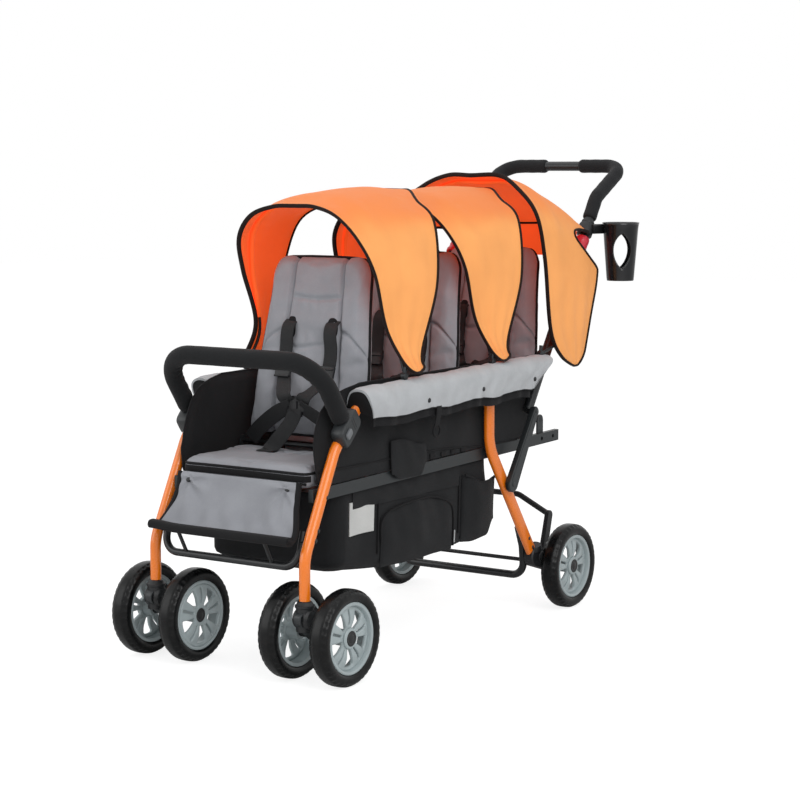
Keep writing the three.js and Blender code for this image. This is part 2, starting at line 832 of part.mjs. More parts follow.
// Front end: foot bar, calf panel, bumper bar, its sockets and release buttons.
function footrestBar() {
  const x = legX - frontTubeRadius - footTubeRadius - 4 * runningGap;
  const top = point(x, frontLegYAt(footBoltZ), footBoltZ);
  const low = point(x, footBarY, footBarZ);
  const other = point(-1, 1, 1);
  const bar = tube([top, low, low.clone().multiply(other), top.clone().multiply(other)],
    footTubeRadius, footBendRadius, smallFacets);
  const bolts = [0.05, 0.3].map((share) => {
    const z = mix(footBoltZ, footBarZ, share);
    return discOnX(footTubeRadius / 2, x, legX - frontTubeRadius - runningGap, frontLegYAt(z), z);
  });
  const struts = [-1, 1].map((side) => tube([
    point(side * 0.62 * calfLipHalf, footBarY, footBarZ),
    point(side * 0.62 * calfLipHalf, mix(footBarY, lipY, 0.7), lipZ - lipThickness / 2),
  ], footTubeRadius / 2, 0, wireFacets));
  return join(bar, ...bolts, ...bolts.map(mirrored), ...struts);
}

function frontLegYAt(z) {
  return mix(-casterTrail, frontKneeY, (z - frontBendZ) / (frontKneeZ - frontBendZ));
}

// The padded flap from the first cushion down to the stiff lip over the foot bar.
function calfPanel() {
  const top = cushionFrontPoint();
  const path = new THREE.CatmullRomCurve3([
    point(0, top.y - cushionTuck, top.z - cushionThickness / 3),
    point(0, mix(top.y, lipY, 0.2), mix(top.z, lipZ, 0.4)),
    point(0, mix(top.y, lipY, 0.45), mix(top.z, lipZ, 0.8)),
    point(0, mix(top.y, lipY, 0.72), lipZ),
    point(0, lipY, lipZ + calfThickness),
  ]);
  return formed(9, 8, 1, (a, b, c) => {
    const at = path.getPoint(b);
    const along = path.getTangent(b);
    const across = 2 * a - 1;
    const half = mix(calfTopHalf, calfLipHalf, smooth(0.3, 1, b));
    const thickness = mix(calfThickness, lipThickness, smooth(0.7, 1, b));
    const fold = calfFoldDepth * Math.sin(across * 3 * Math.PI + 2 * b) * Math.sin(Math.PI * b);
    const out = thickness * (c - 0.5) + fold * (1 - smooth(0.7, 0.95, b));
    return point(across * half, at.y - along.z * out * -1, at.z + along.y * out * -1);
  });
}

function socketCentre() {
  const share = (socketAlongLeg - frontKneeZ) / (frontTopZ - frontKneeZ);
  return point(legX, mix(frontKneeY, frontTopY, share), socketAlongLeg);
}

const bumperBendPoint = () => point(bumperHalf, bumperY, bumperZ);

function bumperSeat() {
  const centre = socketCentre();
  const towards = bumperBendPoint().sub(centre);
  towards.x = 0;
  return { centre, along: towards.normalize() };
}

function bumperBar() {
  const { centre, along } = bumperSeat();
  const faceAt = socketDepth / 2 + socketShift + runningGap;
  const start = centre.clone().addScaledVector(along, faceAt);
  start.x = bumperHalf;
  const corners = [start, bumperBendPoint(), bumperBendPoint().multiply(point(-1, 1, 1)),
    start.clone().multiply(point(-1, 1, 1))];
  const foam = tube(corners, bumperRadius, bumperBendRadius, tubeFacets, 4);
  const pinEnd = start.clone().addScaledVector(along, -bumperPinLength);
  const inside = start.clone().addScaledVector(along, bumperPinLength);
  const pin = tube([pinEnd, inside], bumperPinRadius, 0, smallFacets);
  return join(foam, pin, mirrored(pin));
}

function bumperSocket() {
  const { centre, along } = bumperSeat();
  const middle = centre.clone().addScaledVector(along, socketShift);
  const outerX = bumperHalf + bumperPinRadius + socketWidth / 4;
  const innerX = legX - frontTubeRadius / 2;
  const body = sidePlate(roundedShape(socketLength, socketDepth, socketCornerRadius), 0, outerX - innerX, 0, 2);
  body.rotateX(frontLegAngle()).translate(innerX, middle.y, middle.z);
  const legHole = tube(frontLegCorners(), boreOf(frontTubeRadius, tubeFacets), frontBendRadius);
  const seat = socketDepth / 2 + socketShift;
  const onBar = (reach) => centre.clone().addScaledVector(along, reach).setX(bumperHalf);
  const pinHole = tube([onBar(seat - bumperPinLength - runningGap), onBar(seat + socketLength)],
    boreOf(bumperPinRadius, smallFacets), 0, smallFacets);
  const foamSeat = tube([onBar(seat), onBar(seat + socketLength)], boreOf(bumperRadius, tubeFacets));
  const pocket = buttonBlock(runningGap, buttonSeat + buttonTravel + runningGap);
  return cut(body, legHole, pinHole, foamSeat, pocket);
}

function frontLegAngle() {
  return Math.atan2(frontTopZ - frontKneeZ, frontTopY - frontKneeY);
}

// The release button in a pocket of the socket, near its lower end.
function buttonBlock(clearance, depth) {
  const { centre, along } = bumperSeat();
  const outerX = bumperHalf + bumperPinRadius + socketWidth / 4;
  const angle = frontLegAngle();
  const downLeg = point(0, -Math.cos(angle), -Math.sin(angle));
  const at = centre.clone().addScaledVector(along, socketShift)
    .addScaledVector(downLeg, socketLength / 2 - buttonLength);
  const block = sidePlate(roundedShape(buttonLength + 2 * clearance, buttonDepth + 2 * clearance,
    buttonDepth / 3), 0, depth + buttonProud, 0, 2);
  return block.rotateX(angle).translate(outerX - depth, at.y, at.z);
}

// Seats

function cushionFrontPoint() {
  return point(0, seatFrontY, railTopAt(seatFrontY) + cushionThickness / 2);
}

// A crowned cushion whose sides draw in between the corners, with two sewn channels.
function seatCushion(index) {
  const frontY = seatFrontY + index * seatPitch;
  return formed(8, 7, 2, (a, b, c) => {
    const u = 2 * a - 1;
    const v = 2 * b - 1;
    const tuckX = cushionTuck * (1 - v * v) * Math.abs(u);
    const tuckY = cushionTuck * (1 - u * u) * Math.abs(v);
    const edge = Math.pow(Math.max(Math.abs(u), Math.abs(v)), 4);
    const round = cushionTuck * edge * 4 * (c - 0.5) * (c - 0.5);
    const x = u * cushionHalf - Math.sign(u) * (tuckX + round * Math.abs(u));
    const y = frontY + b * cushionDepth - Math.sign(v) * (tuckY + round * Math.abs(v));
    const crown = cushionCrown * (1 - u * u) * (1 - v * v);
    const channel = backChannel * 0.5 * Math.exp(-Math.pow((v - 0.35) / 0.12, 2)) * (1 - u * u);
    const base = railTopAt(frontY + b * cushionDepth) + runningGap;
    const body = cushionThickness - cushionCrown;
    return point(x, y, base + c * body + (c > 0.9 ? crown - channel : 0));
  });
}

function backFrame(index) {
  const lean = THREE.MathUtils.degToRad(backLeanDegrees);
  return new THREE.Matrix4().makeRotationX(-lean)
    .setPosition(0, backPivotY + index * seatPitch, backPivotZ);
}

// A tall back, narrower at its rounded top, with a raised head roll, a middle panel and bolsters.
function seatBack(index) {
  const back = formed(8, 8, 2, (a, b, c) => {
    const u = 2 * a - 1;
    const fromTop = (1 - b) * backLength;
    const corner = Math.max(0, 1 - fromTop / backCornerRadius);
    const cornerCut = backCornerRadius * (1 - Math.sqrt(1 - Math.min(1, corner * corner)));
    const half = mix(backBottomHalf, backTopHalf, smooth(0.1, 1, b)) - cornerCut * 0.8;
    const pull = cushionTuck / 2 * Math.sin(Math.PI * b) * Math.abs(u);
    const rim = Math.max(Math.pow(Math.abs(u), 6), Math.pow(Math.abs(2 * b - 1), 10));
    const crown = backCrown * (1 - rim);
    const seam = backChannel * (Math.exp(-Math.pow((Math.abs(u) - 0.62) / 0.1, 2))
      + Math.exp(-Math.pow((b - 0.72) / 0.05, 2)) * (Math.abs(u) < 0.6 ? 1 : 0));
    const swell = c < 0.1 ? -(crown - seam * (1 - rim)) : (c > 0.9 ? crown * 0.4 : 0);
    const y = (c - 0.5) * (backThickness - 2 * backCrown) + swell;
    const foot = 2.4 * rodRadius;
    return point(u * half - Math.sign(u) * pull, y, foot + b * (backLength - foot));
  });
  return back.applyMatrix4(backFrame(index));
}

// The wire frame of a back: the pivot rod, a loop behind the cover, and the bail that
// slants down to its catch and sets the recline.
function reclineFrame(index) {
  const half = hingePlateX() + hingePlateThickness;
  const rod = discOnX(rodRadius, -half, half, 0, 0);
  const face = backThickness / 2 - 3 * runningGap;
  const foot = rodRadius - wireRadius;
  const loop = tube([
    point(-backWireHalf, 0, -foot), point(-backWireHalf, face, foot), point(-backWireHalf, face, backWireRise),
    point(backWireHalf, face, backWireRise), point(backWireHalf, face, foot), point(backWireHalf, 0, -foot),
  ], wireRadius, 2 * wireRadius, wireFacets, 1);
  const bail = tube([
    point(-bailHalf, face, backWireRise), point(-bailHalf, bailReach, bailFootRise),
    point(bailHalf, bailReach, bailFootRise), point(bailHalf, face, backWireRise),
  ], wireRadius, face, wireFacets, 2);
  return join(rod, loop, bail).applyMatrix4(backFrame(index));
}

const hingePlateX = () => railX - railWidth / 2 + runningGap;

function strapRun(points, width, normalHint) {
  const curve = new THREE.CatmullRomCurve3(points);
  const count = points.length;
  return formed(count, 1, 1, (a, b, c) => {
    const at = curve.getPoint(a);
    const along = curve.getTangent(a);
    const side = along.clone().cross(normalHint).normalize();
    const out = side.clone().cross(along).normalize();
    return at.addScaledVector(side, (b - 0.5) * width).addScaledVector(out, (c - 0.5) * strapThickness);
  });
}

// Shoulder straps from the back to the buckle, lap straps and the crotch strap.
function harness(index) {
  const frame = backFrame(index);
  const face = -backThickness / 2 - strapThickness;
  const onBack = (x, rise) => point(x, face, rise).applyMatrix4(frame);
  const buckle = point(0, backPivotY + index * seatPitch - buckleFromBack,
    railTopAt(backPivotY + index * seatPitch) + cushionThickness + buckleRise);
  const forward = point(0, -1, 0);
  const shoulder = strapRun([
    onBack(shoulderSlotHalf, shoulderSlotRise),
    onBack(shoulderSlotHalf * 0.92, shoulderSlotRise * 0.66),
    onBack(shoulderSlotHalf * 0.7, shoulderSlotRise * 0.36).addScaledVector(forward, buckleFromBack * 0.25),
    buckle.clone().add(point(buckleSize * 0.35, 0, buckleSize * 0.2)),
  ], strapWidth, point(0, 1, 0.35).normalize());
  const lap = strapRun([
    buckle.clone().add(point(buckleSize * 0.3, 0, 0)),
    buckle.clone().add(point(backBottomHalf * 0.5, buckleFromBack * 0.1, -buckleRise * 0.35)),
    buckle.clone().add(point(backBottomHalf * 0.8, buckleFromBack * 0.45, -buckleRise * 0.62)),
  ], strapWidth, point(0, 1, 0.2).normalize());
  const crotch = strapRun([
    buckle.clone().add(point(0, 0, -buckleSize * 0.2)),
    buckle.clone().add(point(0, -buckleRise * 0.2, -buckleRise * 0.5)),
    point(0, buckle.y - buckleRise * 0.55, buckle.z - buckleRise + cushionCrown / 2),
  ], strapWidth, point(0, 1, 0.3).normalize());
  const block = sidePlate(roundedShape(buckleThickness, buckleSize, buckleThickness / 3),
    -buckleSize / 2, buckleSize, 0, 3).translate(0, buckle.y, buckle.z);
  return join(block, shoulder, mirrored(shoulder), lap, mirrored(lap), crotch);
}

// Side panel: the padded grey sleeve over the arm rail and the black cloth down to the seat rail.
function sidePanel() {
  const section = new THREE.CatmullRomCurve3([
    point(padOuterX - panelThickness, 0, padHemZ),
    point(padOuterX, 0, mix(padHemZ, padTopZ, 0.5)),
    point(padOuterX - panelThickness, 0, padTopZ - padThickness),
    point(armX, 0, padTopZ - padThickness / 2),
    point(mix(padInnerX, armX, 0.35), 0, padTopZ - padThickness / 2),
    point(padInnerX - padThickness / 3, 0, padTopZ - 1.4 * padThickness),
    point(panelInnerX + panelThickness, 0, mix(padHemZ, padTopZ, 0.3)),
    point(panelInnerX, 0, mix(padHemZ, railFrontZ, 0.4)),
    point(panelInnerX, 0, railTopAt(railFrontY) + runningGap),
  ], false, 'catmullrom', 0.3);
  return formed(10, 10, 1, (a, b, c) => {
    const at = section.getPoint(b);
    const along = section.getTangent(b);
    const padded = 1 - smooth(0.62, 0.72, b);
    const full = padded * Math.sin(Math.PI * Math.min(1, b / 0.7));
    const thickness = mix(panelThickness, padThickness * 0.7, full);
    const rise = smooth(padHemZ, padTopZ, at.z);
    const inside = b > 0.6 ? 1 : 0;
    const frontY = inside ? mix(panelFrontY, padFrontY, rise) : padFrontY;
    const low = 1 - smooth(railTopAt(railFrontY), padTopZ, at.z);
    const rearY = inside ? mix(padRearY, panelRearLowY, low) : padRearY;
    const y = mix(frontY, rearY, a);
    const hung = Math.sin(Math.PI * Math.min(1, (1 - b) / 0.4));
    const wave = panelFoldDepth * Math.sin(a * 7 * Math.PI) * (1 - padded) * hung;
    const out = (c - 0.5) * thickness + wave;
    const climb = mix(padRise, railRise, low) * (y - railFrontY) / railLength;
    return point(at.x + along.z * out, y, at.z - along.x * out + climb);
  });
}

// Basket: an open cloth tray hung under the seat rails, with a side window each side.
function basketOutline(inset) {
  const top = railLowAt(basketFrontY) - runningGap;
  const floor = basketLowZ + inset;
  const shape = new THREE.Shape();
  shape.moveTo(basketFrontY + inset, top);
  shape.lineTo(basketFrontY + inset, floor + basketBandHeight / 2);
  shape.quadraticCurveTo(basketFrontY + inset, floor, basketFrontY + basketBandHeight, floor - basketSag / 3);
  shape.quadraticCurveTo(mix(basketFrontY, basketRearY, 0.5), floor - basketSag * 1.6,
    basketRearTailY - inset, floor);
  shape.lineTo(basketRearTailY - inset * 1.4 - basketBandHeight / 3, mix(floor, top, 0.35));
  shape.lineTo(basketRearY - inset, top);
  return shape;
}

function basket() {
  const outer = sidePlate(basketOutline(0), -basketHalf, 2 * basketHalf, 0, 6);
  const inner = sidePlate(basketOutline(basketWall), -basketHalf + basketWall,
    2 * (basketHalf - basketWall), 0, 6);
  const mouth = inner.clone().translate(0, 0, basketBandHeight);
  const window = new THREE.Shape();
  const y = basketWindowY;
  window.moveTo(y, basketWindowZ);
  window.lineTo(y + basketWindowLength, basketWindowZ + basketWall);
  window.lineTo(y + basketWindowLength * 0.86, basketWindowZ + basketWindowHeight);
  window.lineTo(y, basketWindowZ + basketWindowHeight);
  const through = sidePlate(window, -2 * basketHalf, 4 * basketHalf);
  return cut(outer, inner, mouth, through);
}

// Canopies. Each rim is a curve from the tip at one side up to the middle of the top,
// given as shares: height of the rise, reach along y, and distance out to the side.
const frontRimShares = [
  [0, 0.11, 1.0], [0.259, 0.205, 0.78], [0.593, 0.502, 0.781], [0.796, 0.742, 0.702],
  [0.937, 0.842, 0.506], [0.994, 0.822, 0.246], [1, 0.804, 0],
];
const rearRimShares = [
  [0, 0.04, 1.0], [0.109, 0.071, 0.928], [0.479, 0.296, 0.937], [0.819, 0.426, 0.81],
  [0.937, 0.589, 0.494], [0.996, 0.85, 0.213], [1, 0.98, 0],
];
const lastFrontShares = [
  [0, 0.11, 1.0], [0.179, 0.616, 0.985], [0.572, 0.755, 0.951], [0.805, 0.848, 0.877],
  [0.941, 0.719, 0.583], [1.0, 0.587, 0.317], [1.0, 0.657, 0],
];
const lastRearShares = [
  [0, 0.04, 1.0], [0.33, 0.5, 0.985], [0.6, 0.94, 0.96], [0.77, 1.0, 0.935],
  [0.96, 0.82, 0.82], [1.0, 0.76, 0.45], [1.0, 0.74, 0],
];

function rimCurve(shares, tipY, tipZ, rise, reach) {
  return new THREE.CatmullRomCurve3(shares.map(([up, along, out]) =>
    point(out * canopyHalf, tipY + along * reach, tipZ + up * rise)), false, 'catmullrom', 0.5);
}

function canopyRims(index) {
  const last = index === seatCount - 1;
  if (!last) {
    const tip = canopyTipY + index * canopyPitch;
    return {
      front: rimCurve(frontRimShares, tip - canopyTipDepth / 2, canopyTipZ, canopyRise, -canopyReachFront),
      rear: rimCurve(rearRimShares, tip + canopyTipDepth / 2, canopyTipZ, canopyRearRise, canopyReachRear),
    };
  }
  return {
    front: rimCurve(lastFrontShares, lastTipY - canopyTipDepth / 2 - lastRimPull, lastTipZ,
      lastFrontRise, -canopyReachFront),
    rear: rimCurve(lastRearShares, lastTipY + canopyTipDepth / 2, lastTipZ, lastRearRise,
      lastSideReach),
  };
}

// One point of a canopy's outer face: a runs over the arch, b from the front rim to the rear rim.
function canopyFace(rims, a, b) {
  const side = a < 0.5 ? -1 : 1;
  const up = 1 - Math.abs(2 * a - 1);
  const at = rims.front.getPoint(up).lerp(rims.rear.getPoint(up), b);
  const swell = canopyCrown * 4 * b * (1 - b) * Math.sin(Math.PI * Math.min(1, up * 1.2) / 2);
  return point(side * (at.x + swell * (1 - up)), at.y, at.z + swell * up);
}

// The same point carried inwards, square to the cloth.
function canopyPoint(rims, a, b, inset) {
  const step = 0.02;
  const clamp = THREE.MathUtils.clamp;
  const over = canopyFace(rims, clamp(a + step, 0, 1), b).sub(canopyFace(rims, clamp(a - step, 0, 1), b));
  const back = canopyFace(rims, a, clamp(b + step, 0, 1)).sub(canopyFace(rims, a, clamp(b - step, 0, 1)));
  const inwards = back.cross(over).normalize();
  return canopyFace(rims, a, b).addScaledVector(inwards, inset);
}

function canopy(index) {
  const rims = canopyRims(index);
  return formed(16, 5, 1, (a, b, c) => canopyPoint(rims, a, b, (1 - c) * canopyThickness));
}

// A wire bow under the cloth, with a clip that sits on the padded arm.
function canopyBow(index) {
  const rims = canopyRims(index);
  const gap = index === seatCount - 1 ? lastBowGap : bowGap;
  const inset = canopyThickness + gap + bowRadius;
  const stations = [];
  const count = 8;
  const clipZ = padTopZ + padRise * (clipY(index) - railFrontY) / railLength + bowClipRadius - clipSink;
  stations.push(point(-clipX, clipY(index), clipZ));
  for (let i = 0; i <= count; i++) {
    const a = mix(bowFootShare, 1 - bowFootShare, i / count);
    stations.push(canopyPoint(rims, a, bowShareOfDepth, inset));
  }
  stations.push(point(clipX, clipY(index), clipZ));
  const wire = tube(stations, bowRadius, bowRadius, 5, 1);
  const clip = discOnX(bowClipRadius, clipX - bowClipRadius, clipX + bowRadius, clipY(index), clipZ);
  return join(wire, clip, mirrored(clip));
}

function clipY(index) {
  const last = index === seatCount - 1;
  return last ? armRailRearY - 2 * bowClipRadius : canopyTipY + index * canopyPitch - canopyTipDepth;
}

// Cup holder: a tapered cup with a lens shaped window, on a clamp round the handle arm.
function cupHolder() {
  const cup = turnedOnZ([
    [0, 0], [cupBottomRadius, 0], [cupTopRadius, cupHeight], [cupTopRadius - cupWall, cupHeight],
    [cupBottomRadius - cupWall, cupWall], [0, cupWall],
  ], cupFacets).translate(cupX, cupY, cupFloorZ);
  const opening = new THREE.Shape();
  const half = cupWindowHeight / 2;
  const middle = cupHeight * 0.52;
  opening.moveTo(0, middle - half);
  opening.quadraticCurveTo(cupWindowWidth, middle, 0, middle + half);
  opening.quadraticCurveTo(-cupWindowWidth, middle, 0, middle - half);
  const window = new THREE.ExtrudeGeometry(opening, {
    depth: 4 * cupTopRadius, bevelEnabled: false, curveSegments: 4,
  });
  window.rotateX(Math.PI / 2).translate(0, 2 * cupTopRadius, 0);
  window.translate(cupX, cupY, cupFloorZ);
  const clampZ = cupFloorZ + cupHeight - cupClampLength;
  const low = handleArmAt(clampZ);
  const along = handleArmAt(clampZ + cupClampLength).sub(low).normalize();
  const ends = [low.clone(), low.clone().addScaledVector(along, cupClampLength)];
  const ring = tube(ends, cupClampRadius);
  const armCentre = handleArmAt(clampZ + cupClampLength / 2);
  const cupSide = point(cupX - cupTopRadius + 2 * cupWall, cupY, clampZ + cupClampLength / 2);
  const bridge = tube([armCentre.clone().lerp(cupSide, 0.25), cupSide], cupClampLength / 3, 0, smallFacets);
  const bore = tube([low.clone().addScaledVector(along, -cupHeight),
    low.clone().addScaledVector(along, cupHeight)], boreOf(handleTubeRadius, tubeFacets));
  return cut(join(cut(cup, window), cut(bridge, cupInside()), ring), bore);
}

function cupInside() {
  return turnedOnZ([
    [0, cupWall], [cupBottomRadius - cupWall, cupWall], [cupTopRadius - cupWall, cupHeight],
    [cupTopRadius - cupWall, 2 * cupHeight], [0, 2 * cupHeight],
  ], cupFacets).translate(cupX, cupY, cupFloorZ);
}

// Assembly

const stroller = new THREE.Group();

function finish(colour, roughness, metalness = 0) {
  return new THREE.MeshStandardMaterial({ color: colour, roughness, metalness });
}

function add(name, geometry, colour, roughness, metalness = 0, at = point(0, 0, 0)) {
  const mesh = new THREE.Mesh(geometry, finish(colour, roughness, metalness));
  mesh.name = name;
  mesh.position.copy(at);
  stroller.add(mesh);
  return mesh;
}

function addPair(name, geometry, colour, roughness, metalness = 0) {
  add(`${name}_left`, geometry, colour, roughness, metalness);
  add(`${name}_right`, mirrored(geometry), colour, roughness, metalness);
}

function addWheel(tyreName, rimName, x, y, outward) {
  const wheelRim = rim();
  const at = point(x, y, wheelRadius);
  add(tyreName, tyre(), colours.tyre, 0.6, 0, at);
  add(rimName, outward > 0 ? wheelRim : mirrored(wheelRim), colours.rim, 0.45, 0, at);
}

add('seat_frame', seatFrame(), colours.steel, 0.45, 0.6);
addPair('front_leg', frontLeg(), colours.orange, 0.3, 0.1);
addPair('rear_leg', rearLeg(), colours.orange, 0.3, 0.1);
addPair('arm_rail', armRail(), colours.steel, 0.45, 0.6);
add('handle_tube', handleTube(), colours.steel, 0.4, 0.5);
addPair('handle_grip', handleGrip(), colours.foam, 0.9);
addPair('fold_link', foldLink(), colours.plastic, 0.5);
addPair('fold_latch', foldLatch(), colours.red, 0.4);
add('rear_axle', rearAxle(), colours.plastic, 0.5);
add('curb_bar', curbBar(), colours.steel, 0.4, 0.5);
add('brake_pedal', brakePedal(), colours.plastic, 0.5);
[[1, 'left'], [-1, 'right']].forEach(([side, name]) => {
  addWheel(`rear_tyre_${name}`, `rear_rim_${name}`, side * rearTrack / 2, wheelBase, side);
  add(`caster_fork_${name}`, casterFork(), colours.plastic, 0.5, 0, point(side * legX, 0, 0));
  [[1, 'outer'], [-1, 'inner']].forEach(([out, place]) => {
    const x = side * (legX + out * casterPairSpacing / 2);
    addWheel(`caster_tyre_${name}_${place}`, `caster_rim_${name}_${place}`, x, 0, side * out);
  });
});
add('footrest_bar', footrestBar(), colours.steel, 0.4, 0.5);
add('calf_panel', calfPanel(), colours.grey, 0.9);
add('bumper_bar', bumperBar(), colours.foam, 0.9);
addPair('bumper_socket', bumperSocket(), colours.plastic, 0.5);
addPair('bumper_button', buttonBlock(0, buttonSeat), colours.grey, 0.5);
for (let i = 0; i < seatCount; i++) {
  add(`seat_cushion_${i + 1}`, seatCushion(i), colours.grey, 0.9);
  add(`recline_frame_${i + 1}`, reclineFrame(i), colours.steel, 0.4, 0.6);
  add(`seat_back_${i + 1}`, seatBack(i), colours.grey, 0.9);
  add(`harness_${i + 1}`, harness(i), colours.cloth, 0.9);
  add(`canopy_${i + 1}`, canopy(i), colours.canopy, 0.85);
  add(`canopy_bow_${i + 1}`, canopyBow(i), colours.metal, 0.4, 0.7);
}
addPair('side_panel', sidePanel(), colours.cloth, 0.9);
add('basket', basket(), colours.cloth, 0.9);
add('cup_holder', cupHolder(), colours.plastic, 0.4);

const rearReach = handleTopY + gripRadius;
stroller.position.y = -(rearReach - wheelRadius) / 2;
stroller.updateMatrixWorld(true);

export default stroller;
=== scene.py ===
"""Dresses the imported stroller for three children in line: tubes, wheels, cloth, light and camera."""

import logging
import math
from collections.abc import Callable, Sequence
from dataclasses import dataclass
from enum import Enum
from functools import cache, cached_property

import bpy
import bmesh
import numpy as np
from mathutils import Matrix, Vector
from mathutils.bvhtree import BVHTree


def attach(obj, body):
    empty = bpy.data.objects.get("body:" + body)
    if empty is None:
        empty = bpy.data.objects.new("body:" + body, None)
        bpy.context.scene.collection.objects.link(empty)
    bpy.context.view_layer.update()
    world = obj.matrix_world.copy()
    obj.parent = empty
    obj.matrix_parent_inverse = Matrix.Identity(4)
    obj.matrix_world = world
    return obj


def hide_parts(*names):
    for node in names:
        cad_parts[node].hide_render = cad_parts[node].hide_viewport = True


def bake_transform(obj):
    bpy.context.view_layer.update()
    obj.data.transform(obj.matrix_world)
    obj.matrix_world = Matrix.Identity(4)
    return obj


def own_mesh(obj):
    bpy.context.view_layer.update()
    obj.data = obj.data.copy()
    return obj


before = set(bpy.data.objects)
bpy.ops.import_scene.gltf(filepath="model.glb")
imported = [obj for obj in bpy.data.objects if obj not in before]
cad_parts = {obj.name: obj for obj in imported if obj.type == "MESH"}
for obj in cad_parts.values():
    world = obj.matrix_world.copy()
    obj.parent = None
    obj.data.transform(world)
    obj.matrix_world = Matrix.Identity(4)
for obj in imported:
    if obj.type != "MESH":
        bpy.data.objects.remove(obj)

LOG = logging.getLogger("stroller")
Section = Sequence[tuple[float, float]]

# Sizes below are in millimetres from the line of the front axles, as the frame was drawn.
MILLIMETRE = 0.001
FRONT_AXLE_Y = -0.617
SEAT_COUNT = 3
SEAT_PITCH = 345.0
LEG_X = 198.0
AXLE_Z = 100.0
REAR_AXLE_Y = 930.0
RAIL_FRONT_Z = 394.0
RAIL_SLOPE = 24 / 985
ACROSS, REARWARD, UPWARD = Vector((1, 0, 0)), Vector((0, 1, 0)), Vector((0, 0, 1))


def spot(x: float, y: float, z: float) -> Vector:
    """Turns a place in millimetres from the front axle line into metres in the frame.

    Args:
        x: Distance out from the middle.
        y: Distance back from the front axles.
        z: Height over the ground.

    Returns:
        The place in the frame.
    """
    return Vector((x * MILLIMETRE, y * MILLIMETRE + FRONT_AXLE_Y, z * MILLIMETRE))


def rail_top(y: float) -> float:
    """How high the top of the seat rail is, this far behind the front axles."""
    return RAIL_FRONT_Z + RAIL_SLOPE * y


def mirrored(points: Sequence[Vector]) -> list[Vector]:
    """The other half of a path that is alike on both sides, on from its middle."""
    return [Vector((-p.x, p.y, p.z)) for p in reversed(points)]


def mix(low: float, high: float, share: float) -> float:
    """Goes from low to high as share goes from 0 to 1."""
    return low + (high - low) * share


def smooth(low: float, high: float, value: float) -> float:
    """Rises softly from 0 at low to 1 at high."""
    share = min(1.0, max(0.0, (value - low) / (high - low)))
    return share * share * (3 - 2 * share)


def hill(value: float, middle: float, width: float) -> float:
    """A soft bump of height 1 around the middle."""
    return math.exp(-((value - middle) / width) ** 2)


def ripple(place: Vector, size: float, turn: float = 0.0) -> float:
    """A soft uneven wave through space, from -1 to 1, the same on each run.

    Args:
        place: Where the wave is read, in metres.
        size: The rough length of one wave, in metres.
        turn: Shifts the wave, so that two pieces differ.

    Returns:
        The height of the wave.
    """
    x, y, z = place / size * math.tau
    first = math.sin(x + 1.7 * math.sin(0.6 * y + turn) + turn)
    second = math.sin(0.8 * y + 1.3 * math.sin(0.7 * z + 2 * turn))
    third = math.sin(0.9 * z + 1.5 * math.sin(0.5 * x - turn))
    return (first + second + third) / 3


class Side(Enum):
    """The two sides of the stroller; the left one is the near side in the photograph."""

    LEFT = 1
    RIGHT = -1

    @property
    def word(self) -> str:
        """The side as the frame's names spell it."""
        return self.name.lower()

    @property
    def out(self) -> Vector:
        """The direction away from the middle."""
        return ACROSS * self.value


# Paths and sections


def bent(corners: Sequence[Vector], radius: float, steps: int = 9) -> list[Vector]:
    """Joins straight runs with round bends.

    Args:
        corners: The ends and the corners of the path.
        radius: The radius of each bend, in millimetres.
        steps: How many short runs make up a bend.

    Returns:
        The points of the path.
    """
    path = [corners[0].copy()]
    for before, corner, after in zip(corners, corners[1:], corners[2:]):
        into = (corner - before).normalized()
        away = (after - corner).normalized()
        turn = into.angle(away)
        reach = radius * MILLIMETRE * math.tan(turn / 2)
        side = (away - into * away.dot(into)).normalized()
        centre = corner - into * reach + side * radius * MILLIMETRE
        for k in range(steps + 1):
            angle = turn * k / steps
            path.append(centre + (into * math.sin(angle) - side * math.cos(angle)) * radius * MILLIMETRE)
    path.append(corners[-1].copy())
    return path


def passing(a: Vector, b: Vector, c: Vector, d: Vector, t: float) -> Vector:
    """A point on the smooth run from b to c, at a share t of it, with a before it and d after it."""
    return 0.5 * (2 * b + (c - a) * t + (2 * a - 5 * b + 4 * c - d) * t * t
                  + (3 * b - a - 3 * c + d) * t ** 3)


def curve(points: Sequence[Vector], steps: int = 8) -> list[Vector]:
    """A smooth path through all the points.

    Args:
        points: What the path passes through.
        steps: How many short runs lie between two points.

    Returns:
        The points of the path.
    """
    path: list[Vector] = []
    last = len(points) - 1
    for i in range(last):
        near = points[max(0, i - 1)], points[i], points[i + 1], points[min(last, i + 2)]
        path += [passing(*near, k / steps) for k in range(steps)]
    path.append(points[-1].copy())
    return path


def evenly(path: Sequence[Vector], count: int) -> list[Vector]:
    """Places points at even distances along a path.

    Args:
        path: The path's own points.
        count: How many points to place, both ends included.

    Returns:
        The placed points.
    """
    lengths = [0.0]
    for a, b in zip(path, path[1:]):
        lengths.append(lengths[-1] + (b - a).length)
    placed, k = [], 0
    for i in range(count):
        goal = lengths[-1] * i / (count - 1)
        while k < len(path) - 2 and lengths[k + 1] < goal:
            k += 1
        share = (goal - lengths[k]) / max(lengths[k + 1] - lengths[k], 1e-9)
        placed.append(path[k].lerp(path[k + 1], min(1.0, max(0.0, share))))
    return placed


